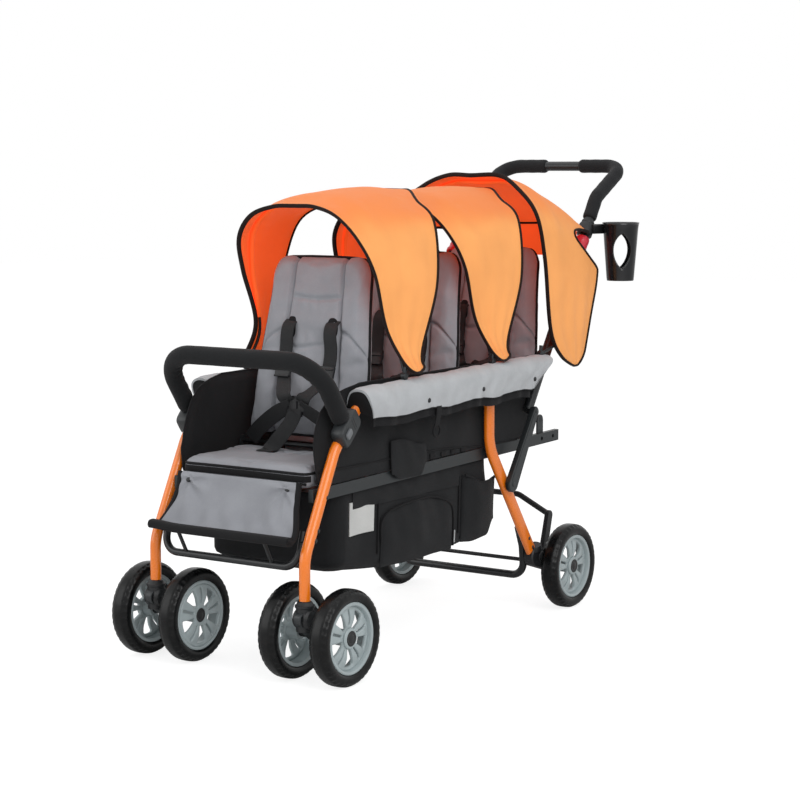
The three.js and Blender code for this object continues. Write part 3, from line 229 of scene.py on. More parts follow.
def frames(path: Sequence[Vector], side: Vector | None = None) -> list[tuple[Vector, Vector, Vector]]:
    """Finds the directions along and square to a path, without twist.

    Args:
        path: The path's points.
        side: Where given, the first square direction stays as near to it as it can.

    Returns:
        Along, side and up directions at each point.
    """
    found: list[tuple[Vector, Vector, Vector]] = []
    last = len(path) - 1
    across = side
    for i in range(last + 1):
        along = (path[min(last, i + 1)] - path[max(0, i - 1)]).normalized()
        if across is None:
            across = ACROSS if abs(along.x) < 0.8 else UPWARD
        out = (across - along * across.dot(along)).normalized()
        found.append((along, out, along.cross(out)))
        if side is None:
            across = out
    return found


def circle(radius: float, count: int) -> list[tuple[float, float]]:
    """A round section, in millimetres."""
    return [(radius * math.cos(math.tau * k / count), radius * math.sin(math.tau * k / count))
            for k in range(count)]


def oval(width: float, depth: float, count: int = 28, power: float = 2.0) -> list[tuple[float, float]]:
    """A flattened section.

    Args:
        width: Full size along the side direction, in millimetres.
        depth: Full size along the up direction, in millimetres.
        count: How many points go round.
        power: 2 is an ellipse, and more makes the corners fuller.

    Returns:
        The section's points.
    """
    points = []
    for k in range(count):
        c, s = math.cos(math.tau * k / count), math.sin(math.tau * k / count)
        points.append((math.copysign(abs(c) ** (2 / power), c) * width / 2,
                       math.copysign(abs(s) ** (2 / power), s) * depth / 2))
    return points


def two_circles(a: Vector, ra: float, b: Vector, rb: float, steps: int = 14) -> list[Vector]:
    """The outline round two circles in the side view, as on a link or bracket.

    Args:
        a: Centre of the first circle.
        ra: Its radius, in millimetres.
        b: Centre of the second circle.
        rb: Its radius, in millimetres.
        steps: How many short runs make up each end.

    Returns:
        The outline's points.
    """
    way = b - a
    angle = math.atan2(way.z, way.y)
    spread = math.acos((ra - rb) * MILLIMETRE / way.length)
    outline = []
    for centre, radius, start, turn in ((a, ra, angle + spread, math.tau - 2 * spread),
                                        (b, rb, angle - spread, 2 * spread)):
        for k in range(steps + 1):
            t = start + turn * k / steps
            outline.append(centre + Vector((0, math.cos(t), math.sin(t))) * radius * MILLIMETRE)
    return outline


# Pieces in the making


class Skin:
    """The points and faces of one piece in the making."""

    def __init__(self, name: str) -> None:
        """Starts an empty piece."""
        self.name = name
        self.points: list[Vector] = []
        self.faces: list[tuple[int, ...]] = []
        self.slots: list[int] = []

    def row(self, points: Sequence[Vector]) -> list[int]:
        """Adds points and returns their numbers."""
        start = len(self.points)
        self.points.extend(points)
        return list(range(start, len(self.points)))

    def face(self, *corners: int, slot: int = 0) -> None:
        """Adds one face."""
        if len(set(corners)) > 2:
            self.faces.append(corners)
            self.slots.append(slot)

    def strip(self, a: Sequence[int], b: Sequence[int], wrap: bool = False, slot: int = 0) -> None:
        """Joins two rows of the same length with faces.

        Args:
            a: One row.
            b: The other row.
            wrap: Whether the rows are rings.
            slot: Which finish the faces get.
        """
        count = len(a)
        for k in range(count if wrap else count - 1):
            n = (k + 1) % count
            self.face(a[k], a[n], b[n], b[k], slot=slot)

    def grid(self, rows: Sequence[Sequence[Vector]], wrap: bool = False, loop: bool = False,
             slot: int = 0) -> list[list[int]]:
        """Adds rows of points with faces between them.

        Args:
            rows: The rows, all of the same length.
            wrap: Whether each row is a ring.
            loop: Whether the last row joins the first.
            slot: Which finish the faces get.

        Returns:
            The numbers of the points, row by row.
        """
        made = [self.row(r) for r in rows]
        for a, b in zip(made, made[1:] + made[:1] if loop else made[1:]):
            self.strip(a, b, wrap, slot)
        return made

    def pierced(self, rows: Sequence[Sequence[Vector]],
                is_open: Callable[[int, int], bool]) -> list[list[int]]:
        """Adds rings with faces between them, apart from those that stay open.

        Args:
            rows: The rings, all of the same length.
            is_open: Whether a face is left out, by its ring and its step round.

        Returns:
            The numbers of the points, ring by ring.
        """
        made = [self.row(r) for r in rows]
        for level, (a, b) in enumerate(zip(made, made[1:])):
            for k in range(len(a)):
                if not is_open(level, k):
                    n = (k + 1) % len(a)
                    self.face(a[k], a[n], b[n], b[k])
        return made

    def closed(self, rows: Sequence[Sequence[Vector]]) -> None:
        """Adds rings with faces between them, and closes both ends."""
        made = self.grid(rows, wrap=True)
        self.face(*made[0])
        self.face(*reversed(made[-1]))

    def lined(self, faces: Sequence[Sequence[Vector]], linings: Sequence[Sequence[Vector]]) -> None:
        """Adds cloth as one closed thin form, from the rows of its face and of its lining."""
        made = self.grid([[*face, *reversed(lining)] for face, lining in zip(faces, linings)], wrap=True)
        self.face(*made[0])
        self.face(*made[-1])

    def sweep(self, path: Sequence[Vector], section: Section, side: Vector | None = None,
              scale: Callable[[float], float] | None = None, loop: bool = False) -> None:
        """Draws a section along a path.

        Args:
            path: Where the section goes.
            section: Its points, in millimetres.
            side: A direction that the section's width keeps to.
            scale: The section's scale for a share of the path from 0 to 1.
            loop: Whether the path closes on itself.
        """
        rows = []
        last = len(path) - 1
        for i, (at, (_, out, up)) in enumerate(zip(path, frames(path, side))):
            size = MILLIMETRE * (scale(i / last) if scale else 1.0)
            rows.append([at + out * u * size + up * v * size for u, v in section])
        if loop:
            self.grid(rows, wrap=True, loop=True)
        else:
            self.closed(rows)

    def turned(self, profile: Section, centre: Vector, axis: Vector, count: int = 32,
               ring: bool = False, dent: Callable[[int, int], float] | None = None) -> None:
        """Turns a profile round an axis.

        Args:
            profile: Pairs of radius and distance along the axis, in millimetres.
            centre: A point on the axis.
            axis: The axis.
            count: How many steps go round.
            ring: Whether the profile's last point joins its first.
            dent: How far the radius drops at a step round and a point of the profile.
        """
        along, out, up = frames([centre, centre + axis])[0]
        rows = []
        for i, (radius, reach) in enumerate(profile):
            row = []
            for k in range(count):
                size = (radius - (dent(k, i) if dent else 0.0)) * MILLIMETRE
                angle = math.tau * k / count
                row.append(centre + along * reach * MILLIMETRE
                           + (out * math.cos(angle) + up * math.sin(angle)) * size)
            rows.append(row)
        if ring:
            self.grid(rows, wrap=True, loop=True)
        else:
            self.closed(rows)

    def plate(self, outline: Sequence[Vector], way: Vector, bevel: float) -> None:
        """Thickens a flat outline, with a small bevel round both faces.

        Args:
            outline: The plate's outline.
            way: From one face to the other.
            bevel: The size of the bevel, in millimetres.
        """
        middle = sum(outline, Vector()) / len(outline)
        small = bevel * MILLIMETRE
        step = way.normalized() * small

        def drawn_in(point: Vector) -> Vector:
            """A point of the outline moved towards the middle."""
            return point + (middle - point).normalized() * small

        self.closed([[drawn_in(p) for p in outline], [p + step for p in outline],
                     [p + way - step for p in outline], [drawn_in(p) + way for p in outline]])

    def dome(self, centre: Vector, way: Vector, radius: float, height: float, count: int = 14) -> None:
        """A low round head, as on a rivet or a snap.

        Args:
            centre: Where it sits.
            way: Which way it looks.
            radius: Its radius, in millimetres.
            height: Its height, in millimetres.
            count: How many steps go round.
        """
        profile = [(radius, -height), (radius, 0.0)]
        profile += [(radius * math.cos(t), height * math.sin(t)) for t in (0.4, 0.8, 1.2, 1.5)]
        self.turned(profile, centre, way, count)

    def strap(self, path: Sequence[Vector], width: float, thickness: float, side: Vector) -> None:
        """A flat strap with softly rounded edges, its width along the side direction."""
        self.sweep(path, oval(width, thickness, 16, 6.0), side)

    def build(self, sharp: float = 40.0) -> bpy.types.Object:
        """Makes the piece, with all faces outwards and smooth shading up to an angle.

        Args:
            sharp: Edges that turn more than this many degrees stay sharp.

        Returns:
            The new object.
        """
        mesh = bpy.data.meshes.new(self.name)
        mesh.from_pydata([tuple(p) for p in self.points], [], self.faces)
        mesh.polygons.foreach_set("material_index", self.slots)
        work = bmesh.new()
        work.from_mesh(mesh)
        bmesh.ops.recalc_face_normals(work, faces=work.faces)
        work.to_mesh(mesh)
        work.free()
        mesh.polygons.foreach_set("use_smooth", [True] * len(mesh.polygons))
        mesh.set_sharp_from_angle(angle=math.radians(sharp))
        mesh.update()
        made = bpy.data.objects.new(self.name, mesh)
        bpy.context.scene.collection.objects.link(made)
        return made


def worked(made: bpy.types.Object, kind: str, **settings: object) -> bpy.types.Object:
    """Works a modifier into a piece's own mesh.

    Args:
        made: The piece.
        kind: The kind of modifier.
        settings: Its settings.

    Returns:
        The same piece.
    """
    modifier = made.modifiers.new(kind.title(), kind)
    for word, value in settings.items():
        setattr(modifier, word, value)
    ready = made.evaluated_get(bpy.context.evaluated_depsgraph_get())
    mesh = bpy.data.meshes.new_from_object(ready, preserve_all_data_layers=True,
                                           depsgraph=bpy.context.evaluated_depsgraph_get())
    made.modifiers.clear()
    made.data = mesh
    return made


def rounded(made: bpy.types.Object) -> bpy.types.Object:
    """Rounds a piece by subdividing it once."""
    worked(made, "SUBSURF", levels=1, render_levels=1)
    made.data.polygons.foreach_set("use_smooth", [True] * len(made.data.polygons))
    return made


def puffed(made: bpy.types.Object, swell: float) -> bpy.types.Object:
    """Fills a soft piece with air as a stuffed cover is, and keeps the result.

    Args:
        made: The piece, a little smaller than it ends up.
        swell: How far any point may move, in millimetres.

    Returns:
        The same piece.
    """
    worked(made, "REMESH", mode="VOXEL", voxel_size=5.0 * MILLIMETRE)
    before = np.array([v.co for v in made.data.vertices])
    cloth = made.modifiers.new("Cover", "CLOTH")
    cloth.settings.use_pressure = True
    cloth.settings.uniform_pressure_force = 4.0
    cloth.settings.effector_weights.gravity = 0.0
    cloth.settings.quality = 5
    scene = bpy.context.scene
    for step in range(1, 21):
        scene.frame_set(step)
    filled = made.evaluated_get(bpy.context.evaluated_depsgraph_get())
    after = np.array([v.co for v in filled.data.vertices])
    made.modifiers.clear()
    scene.frame_set(1)
    way = after - before
    far = np.linalg.norm(way, axis=1, keepdims=True)
    limit = swell * MILLIMETRE
    moved = before + way * np.minimum(1.0, limit / np.maximum(far, 1e-9))
    made.data.vertices.foreach_set("co", moved.ravel())
    made.data.update()
    return rounded(made)


def shaped(made: bpy.types.Object, rule: Callable[[Vector], tuple[Vector, float]]) -> bpy.types.Object:
    """Moves each point of a piece by a rule, and keeps how deep its seams are.

    Args:
        made: The piece.
        rule: Takes a point, and returns its new place and its seam from 0 to 1.

    Returns:
        The same piece.
    """
    mesh = made.data
    seam = mesh.attributes.new("seam", "FLOAT", "POINT")
    places, depths = [], []
    for vertex in mesh.vertices:
        place, depth = rule(vertex.co.copy())
        places.extend(place)
        depths.append(depth)
    mesh.vertices.foreach_set("co", places)
    seam.data.foreach_set("value", depths)
    mesh.update()
    return made


def copied(made: bpy.types.Object, name: str, move: Matrix) -> bpy.types.Object:
    """Makes a second piece from a finished one.

    Args:
        made: The finished piece.
        name: The new piece's name.
        move: How the new one lies against the first.

    Returns:
        The new object.
    """
    mesh = made.data.copy()
    mesh.transform(move)
    other = bpy.data.objects.new(name, mesh)
    bpy.context.scene.collection.objects.link(other)
    return other


# Finishes

Socket = bpy.types.NodeSocket


class Term:
    """A number that varies over a surface, for use in plain expressions."""

    def __init__(self, graph: "Graph", socket: Socket) -> None:
        """Wraps a socket of a graph."""
        self.graph = graph
        self.socket = socket

    def _maths(self, operation: str, *others: "Term | float") -> "Term":
        """Adds one Math node with this term and the others as its inputs."""
        node = self.graph.node("ShaderNodeMath", {"operation": operation}, dict(enumerate(others)))
        return Term(self.graph, node.outputs[0])

    def __add__(self, other: "Term | float") -> "Term":
        """Self plus other."""
        return self._maths("ADD", self, other)

    __radd__ = __add__

    def __sub__(self, other: "Term | float") -> "Term":
        """Self minus other."""
        return self._maths("SUBTRACT", self, other)

    def __rsub__(self, other: float) -> "Term":
        """Other minus self."""
        return self._maths("SUBTRACT", other, self)

    def __mul__(self, other: "Term | float") -> "Term":
        """Self times other."""
        return self._maths("MULTIPLY", self, other)

    __rmul__ = __mul__

    def __abs__(self) -> "Term":
        """Self without its sign."""
        return self._maths("ABSOLUTE", self)

    def sine(self) -> "Term":
        """The sine of self."""
        return self._maths("SINE", self)

    def rise(self, low: float, high: float) -> "Term":
        """Goes softly from 0 to 1 as self goes from low to high."""
        node = self.graph.node("ShaderNodeMapRange", {"interpolation_type": "SMOOTHSTEP"},
                               {"Value": self, "From Min": low, "From Max": high})
        return Term(self.graph, node.outputs["Result"])


Input = Term | Socket | float | tuple


class Graph:
    """The node tree of one material, or of the world."""

    def __init__(self, owner: bpy.types.Material | bpy.types.World) -> None:
        """Starts an empty tree."""
        owner.use_nodes = True
        self.owner, self.tree = owner, owner.node_tree
        self.tree.nodes.clear()

    @cached_property
    def place(self) -> bpy.types.Node:
        """The surface's own coordinates."""
        return self.node("ShaderNodeTexCoord")

    def node(self, kind: str, settings: dict[str, object] | None = None,
             inputs: dict[str | int, Input] | None = None) -> bpy.types.Node:
        """Adds a node.

        Args:
            kind: The node's type.
            settings: Its settings, which are set first.
            inputs: Values or links of its sockets, by name or number.

        Returns:
            The new node.
        """
        made = self.tree.nodes.new(kind)
        for word, value in (settings or {}).items():
            setattr(made, word, value)
        for word, value in (inputs or {}).items():
            if isinstance(value, Term):
                value = value.socket
            if isinstance(value, Socket):
                self.tree.links.new(value, made.inputs[word])
            else:
                made.inputs[word].default_value = value
        return made

    def split(self, vector: Socket) -> list[Term]:
        """The three parts of a vector as terms."""
        return [Term(self, part) for part in self.node("ShaderNodeSeparateXYZ", None, {0: vector}).outputs]

    def noise(self, size: float, detail: float = 2.0, stretch: tuple = (1.0, 1.0, 1.0)) -> Term:
        """Uneven cloud from 0 to 1.

        Args:
            size: The rough size of a patch, in millimetres.
            detail: How many finer layers it has.
            stretch: How much finer it is along each axis.

        Returns:
            The cloud as a term.
        """
        place = self.node("ShaderNodeVectorMath", {"operation": "MULTIPLY"},
                          {0: self.place.outputs["Object"], 1: stretch})
        made = self.node("ShaderNodeTexNoise", None, {
            "Vector": place.outputs[0], "Scale": 1 / (size * MILLIMETRE), "Detail": detail})
        return Term(self, made.outputs[0])

    def cells(self, size: float) -> Term:
        """Distance to the middle of small cells, from 0 up."""
        made = self.node("ShaderNodeTexVoronoi", None, {
            "Vector": self.place.outputs["Object"], "Scale": 1 / (size * MILLIMETRE)})
        return Term(self, made.outputs[0])

    def colours(self, share: Term | float, a: "Socket | tuple", b: "Socket | tuple") -> Socket:
        """Goes from colour a to colour b as share goes from 0 to 1."""
        made = self.node("ShaderNodeMix", {"data_type": "RGBA"}, {0: share, 6: a, 7: b})
        return made.outputs[2]

    def seam(self) -> Term:
        """How deep in a seam the surface is, as the piece carries it."""
        made = self.node("ShaderNodeAttribute", {"attribute_name": "seam"})
        return Term(self, made.outputs["Fac"])

    def weave(self, thread: float) -> Term:
        """Over and under threads, drawn in whichever plane the cloth faces.

        Args:
            thread: The width of one thread, in millimetres.

        Returns:
            The height of the threads, from -1 to 1.
        """
        turns = math.pi / (thread * MILLIMETRE)
        waves = [(part * turns).sine() for part in self.split(self.place.outputs["Object"])]
        facing = [part * part for part in self.split(self.place.outputs["Normal"])]
        return (facing[0] * waves[1] * waves[2] + facing[1] * waves[0] * waves[2]
                + facing[2] * waves[0] * waves[1])

    def bump(self, height: Term, relief: float) -> Socket:
        """A normal for a height from 0 to 1 over the surface.

        Args:
            height: The height.
            relief: The depth it stands for, in millimetres.

        Returns:
            The normal.
        """
        made = self.node("ShaderNodeBump", None, {"Strength": 1.0, "Distance": relief * MILLIMETRE,
                                                   "Height": height})
        return made.outputs[0]

    def finish(self, shader: dict[str, Input]) -> bpy.types.Material:
        """Ends the tree with one surface shader.

        Args:
            shader: Values and links of the shader's sockets.

        Returns:
            The material.
        """
        surface = self.node("ShaderNodeBsdfPrincipled", None, shader)
        self.node("ShaderNodeOutputMaterial", None, {"Surface": surface.outputs[0]})
        return self.owner


def dye(code: str, strength: float = 1.0) -> tuple[float, float, float, float]:
    """Turns a colour as it looks into the light that it reflects.

    Args:
        code: The colour as six hex digits.
        strength: Below 1 makes it darker.

    Returns:
        Red, green, blue and 1.
    """
    parts = []
    for k in (0, 2, 4):
        value = int(code[k:k + 2], 16) / 255
        linear = value / 12.92 if value <= 0.04045 else ((value + 0.055) / 1.055) ** 2.4
        parts.append(linear * strength)
    return (*parts, 1.0)


@dataclass(frozen=True)
class Finish:
    """A surface finish; each kind draws its own material."""

    name: str
    slot: str
    colour: str

    def draw(self, graph: Graph) -> bpy.types.Material:
        """Draws the material into an empty graph."""
        raise NotImplementedError

    @cache
    def material(self) -> bpy.types.Material:
        """The finish's material, made once."""
        return self.draw(Graph(bpy.data.materials.new(self.name)))


@dataclass(frozen=True)
class Cloth(Finish):
    """Woven cloth with threads, uneven dye, soft fuzz, and painted shade that darkens the deepest part of
    each seam groove.
    """

    thread: float = 0.9
    relief: float = 0.25
    roughness: float = 0.85
    sheen: float = 0.25
    fold_size: float = 60.0
    fold_relief: float = 1.2
    uneven: float = 0.16
    seam_shade_colour: str = "3a3b3f"

    def draw(self, graph: Graph) -> bpy.types.Material:
        """Draws the cloth."""
        patches = graph.noise(self.fold_size, 3.0)
        flecks = graph.noise(1.6, 1.0)
        threads = graph.weave(self.thread)
        tone = patches * 0.6 + flecks * 0.3 + threads * 0.05
        surface_colour = graph.colours(tone.rise(0.15, 0.75), dye(self.colour, 1 - self.uneven),
                             dye(self.colour, 1 + self.uneven * 0.5))
        # Painted shade: the colour goes towards the dark seam colour where a seam groove is deepest.
        depth = graph.seam()
        seam_shaded = graph.colours(depth.rise(0.45, 1.0), surface_colour, dye(self.seam_shade_colour))
        height = (patches * self.fold_relief + (threads * 0.5 + 0.5) * self.relief
                  + flecks * 0.08 - depth * 0.5)
        return graph.finish({
            "Base Color": seam_shaded, "Roughness": self.roughness, "Sheen Weight": self.sheen,
            "Sheen Roughness": 0.45, "Specular IOR Level": 0.25, "Normal": graph.bump(height, 1.0)})


@dataclass(frozen=True)
class SunCloth(Finish):
    """Thin bright cloth of a sunshade, with a satin sheen and soft dents, painted shade that deepens its
    colour on top, and a glow of its own colour as painted light through the cloth.
    """

    shaded_top_colour: str
    glow: float = 0.0
    roughness: float = 0.62

    def draw(self, graph: Graph) -> bpy.types.Material:
        """Draws the cloth."""
        dents = graph.noise(85.0, 2.0)
        fine = graph.noise(14.0, 2.0)
        threads = graph.weave(0.7)
        tone = dents.rise(0.3, 0.7) * 0.8 + fine * 0.2
        facing = graph.split(graph.place.outputs["Normal"])[2]
        sides = graph.colours(tone, dye(self.colour, 0.95), dye(self.colour, 1.05))
        # Painted shade: faces that point up take the deeper top colour, for how the light falls on the top.
        surface_colour = graph.colours(facing.rise(0.25, 0.95), sides, dye(self.shaded_top_colour))
        height = dents * 4.0 + fine * 0.35 + (threads * 0.5 + 0.5) * 0.12
        return graph.finish({
            "Base Color": surface_colour, "Roughness": fine * 0.1 + (self.roughness - 0.05),
            "Sheen Weight": 0.06, "Sheen Roughness": 0.4, "Specular IOR Level": 0.25,
            # Painted light: the cloth glows with its own colour, standing in for light that shines through
            # it.
            "Emission Color": surface_colour, "Emission Strength": self.glow,
            "Normal": graph.bump(height, 1.0)})


@dataclass(frozen=True)
class Webbing(Finish):
    """Strap webbing with fine cross ribs and a slight shine."""

    rib: float = 1.4

    def draw(self, graph: Graph) -> bpy.types.Material:
        """Draws the webbing."""
        turns = math.pi / (self.rib * MILLIMETRE)
        parts = graph.split(graph.place.outputs["Object"])
        ribs = abs(((parts[2] + parts[1] * 0.6) * turns).sine())
        dust = graph.noise(9.0, 2.0)
        surface_colour = graph.colours(ribs * 0.5 + dust * 0.5, dye(self.colour, 0.7), dye(self.colour, 1.35))
        return graph.finish({
            "Base Color": surface_colour, "Roughness": dust * 0.2 + 0.55, "Sheen Weight": 0.05,
            "Specular IOR Level": 0.35, "Normal": graph.bump(ribs, 0.25)})


@dataclass(frozen=True)
class Paint(Finish):
    """Baked gloss paint on tube, with a faint orange skin and small rubs."""

    worn_colour: str
    roughness: float = 0.28
    metallic: float = 0.0
    coat: float = 0.5
    skin: float = 0.05

    def draw(self, graph: Graph) -> bpy.types.Material:
        """Draws the paint."""
        skin = graph.noise(2.2, 1.0)
        rubs = graph.noise(11.0, 4.0, (1.0, 1.0, 0.35)).rise(0.66, 0.78)
        clouds = graph.noise(120.0, 1.0)
        base = graph.colours(clouds, dye(self.colour, 0.93), dye(self.colour, 1.04))
        painted = graph.colours(rubs * 0.35, base, dye(self.worn_colour))
        return graph.finish({
            "Base Color": painted, "Roughness": rubs * 0.25 + skin * 0.08 + (self.roughness - 0.04),
            "Metallic": self.metallic, "Coat Weight": self.coat, "Coat Roughness": 0.12,
            "Normal": graph.bump(skin, self.skin)})


@dataclass(frozen=True)
class Plastic(Finish):
    """Moulded plastic with a fine grain, and paler where hands rub it."""

    roughness: float = 0.5
    grain: float = 0.9
    relief: float = 0.08
    rubbed: float = 1.5

    def draw(self, graph: Graph) -> bpy.types.Material:
        """Draws the plastic."""
        grain = graph.cells(self.grain)
        cloud = graph.noise(45.0, 3.0)
        tone = graph.colours(cloud.rise(0.3, 0.8), dye(self.colour), dye(self.colour, self.rubbed))
        return graph.finish({
            "Base Color": tone, "Roughness": cloud * 0.16 + (self.roughness - 0.08),
            "Specular IOR Level": 0.45, "Normal": graph.bump(grain, self.relief)})


@dataclass(frozen=True)
class Rubber(Finish):
    """Tyre rubber, a little dusty on its running face."""

    dust_colour: str

    def draw(self, graph: Graph) -> bpy.types.Material:
        """Draws the rubber."""
        dust = graph.noise(16.0, 4.0)
        grain = graph.noise(1.1, 1.0)
        tone = graph.colours(dust.rise(0.45, 0.8) * 0.35, dye(self.colour), dye(self.dust_colour))
        return graph.finish({
            "Base Color": tone, "Roughness": dust * 0.2 + 0.2, "Specular IOR Level": 0.22,
            "Normal": graph.bump(grain, 0.06)})


@dataclass(frozen=True)
class Wire(Finish):
    """Plain or blackened wire with drawn streaks."""

    roughness: float = 0.35

    def draw(self, graph: Graph) -> bpy.types.Material:
        """Draws the wire."""
        streaks = graph.noise(2.0, 2.0, (1.0, 0.15, 0.15))
        tone = graph.colours(streaks, dye(self.colour, 0.8), dye(self.colour, 1.15))
        return graph.finish({
            "Base Color": tone, "Metallic": 0.9, "Roughness": streaks * 0.2 + self.roughness,
            "Normal": graph.bump(streaks, 0.03)})


class Look:
    """Every finish on the stroller."""

    ORANGE = Paint("orange_paint", "orange_paint", "f57d10", worn_colour="f8a868")
    STEEL = Paint("black_steel", "black_steel", "1a1c1e", worn_colour="46494c", roughness=0.4,
                  metallic=0.3, coat=0.15, skin=0.08)
    RAIL = Paint("rail_steel", "black_steel", "2a2e30", worn_colour="6a6e70", roughness=0.45,
                 metallic=0.35, coat=0.1, skin=0.08)
    PLASTIC = Plastic("black_plastic", "black_plastic", "131416")
    SOCKET = Plastic("socket_plastic", "black_plastic", "25282a", roughness=0.42, rubbed=1.3)
    GLOSSY = Plastic("cup_plastic", "black_plastic", "121315", roughness=0.22, relief=0.02)
    BUTTON = Plastic("button_plastic", "black_plastic", "5d6063", roughness=0.35, relief=0.03)
    RED = Plastic("latch_red", "latch_red", "c93444", roughness=0.3, relief=0.03, rubbed=1.25)
    RIM = Plastic("rim_grey", "rim_grey", "a0abad", roughness=0.38, relief=0.05, rubbed=1.12)
    TYRE = Rubber("tyre_black", "tyre_black", "0a0b0c", dust_colour="262625")
    FOAM = Cloth("bumper_cloth", "foam", "151618", thread=0.8, relief=0.2, sheen=0.06,
                 fold_size=35.0, fold_relief=0.8, seam_shade_colour="08080a")
    GRIP = Cloth("grip_foam", "foam", "1d1e20", thread=0.6, relief=0.15, sheen=0.08,
                 fold_size=12.0, fold_relief=0.3)
    GREY = Cloth("grey_cloth", "grey_fabric", "9a9ca2", sheen=0.12, seam_shade_colour="4c4e53")
    PAD = Cloth("pad_cloth", "grey_fabric", "bbbec1", sheen=0.12, fold_size=42.0, fold_relief=3.4,
                seam_shade_colour="3a3b3f")
    BLACK = Cloth("black_cloth", "black_fabric", "18191b", thread=0.8, sheen=0.05, fold_size=55.0,
                  fold_relief=1.6, seam_shade_colour="0c0c0e")
    LINING = Cloth("lining_cloth", "black_fabric", "cfd0ce", fold_relief=0.8)
    PIPING = Cloth("piping", "black_fabric", "131315", thread=0.5, relief=0.12, sheen=0.03,
                   fold_relief=0.2)
    SUN_PIPING = Cloth("sun_piping", "black_fabric", "1d120f", thread=0.5, relief=0.12, sheen=0.03,
                       fold_relief=0.2)
    # The sunshade cloth's glow is painted light through the cloth, and its top colour is painted shade.
    SUN = SunCloth("sun_cloth", "canopy_fabric", "fcac64", shaded_top_colour="f48a46", glow=0.05)
    SUN_INSIDE = SunCloth("sun_inside", "canopy_fabric", "fa682c", shaded_top_colour="f2541f", glow=0.33)
    STRAP = Webbing("webbing", "black_fabric", "151618")
    WIRE = Wire("bow_wire", "wire", "3c3e40")
    ZIP = Wire("zip_metal", "wire", "b8babb", roughness=0.25)


# Putting pieces on the frame


def piece(made: bpy.types.Object, body: str | None, finishes: Finish | Sequence[Finish],
          *nodes: str) -> bpy.types.Object:
    """Dresses a piece, lets it ride on a body, and hides the solids that it stands for.

    Args:
        made: The piece, in place.
        body: The body that carries it, or None.
        finishes: One finish, or one for each slot of its faces.
        nodes: The solids that it stands for.

    Returns:
        The same piece.
    """
    listed = [finishes] if isinstance(finishes, Finish) else list(finishes)
    for each in listed:
        made.data.materials.append(each.material())
    if body:
        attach(made, body)
    if nodes:
        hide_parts(*nodes)
    LOG.info("%s rides on %s", made.name, body or "two bodies")
    return made


def carried(node: str, finish: Finish, bevel: float) -> None:
    """Keeps a solid of the frame, with softened edges and a better finish.

    Args:
        node: The solid's name.
        finish: Its finish.
        bevel: The size of its softened edges, in millimetres.
    """
    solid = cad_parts[node]
    for place in solid.material_slots:
        place.material = finish.material()
    soft = solid.modifiers.new("Softened edges", "BEVEL")
    soft.width, soft.segments = bevel * MILLIMETRE, 2
    soft.limit_method, soft.angle_limit = "ANGLE", math.radians(40)
    soft.harden_normals = True
    LOG.info("%s is kept as the frame has it", node)


# Rigid groups


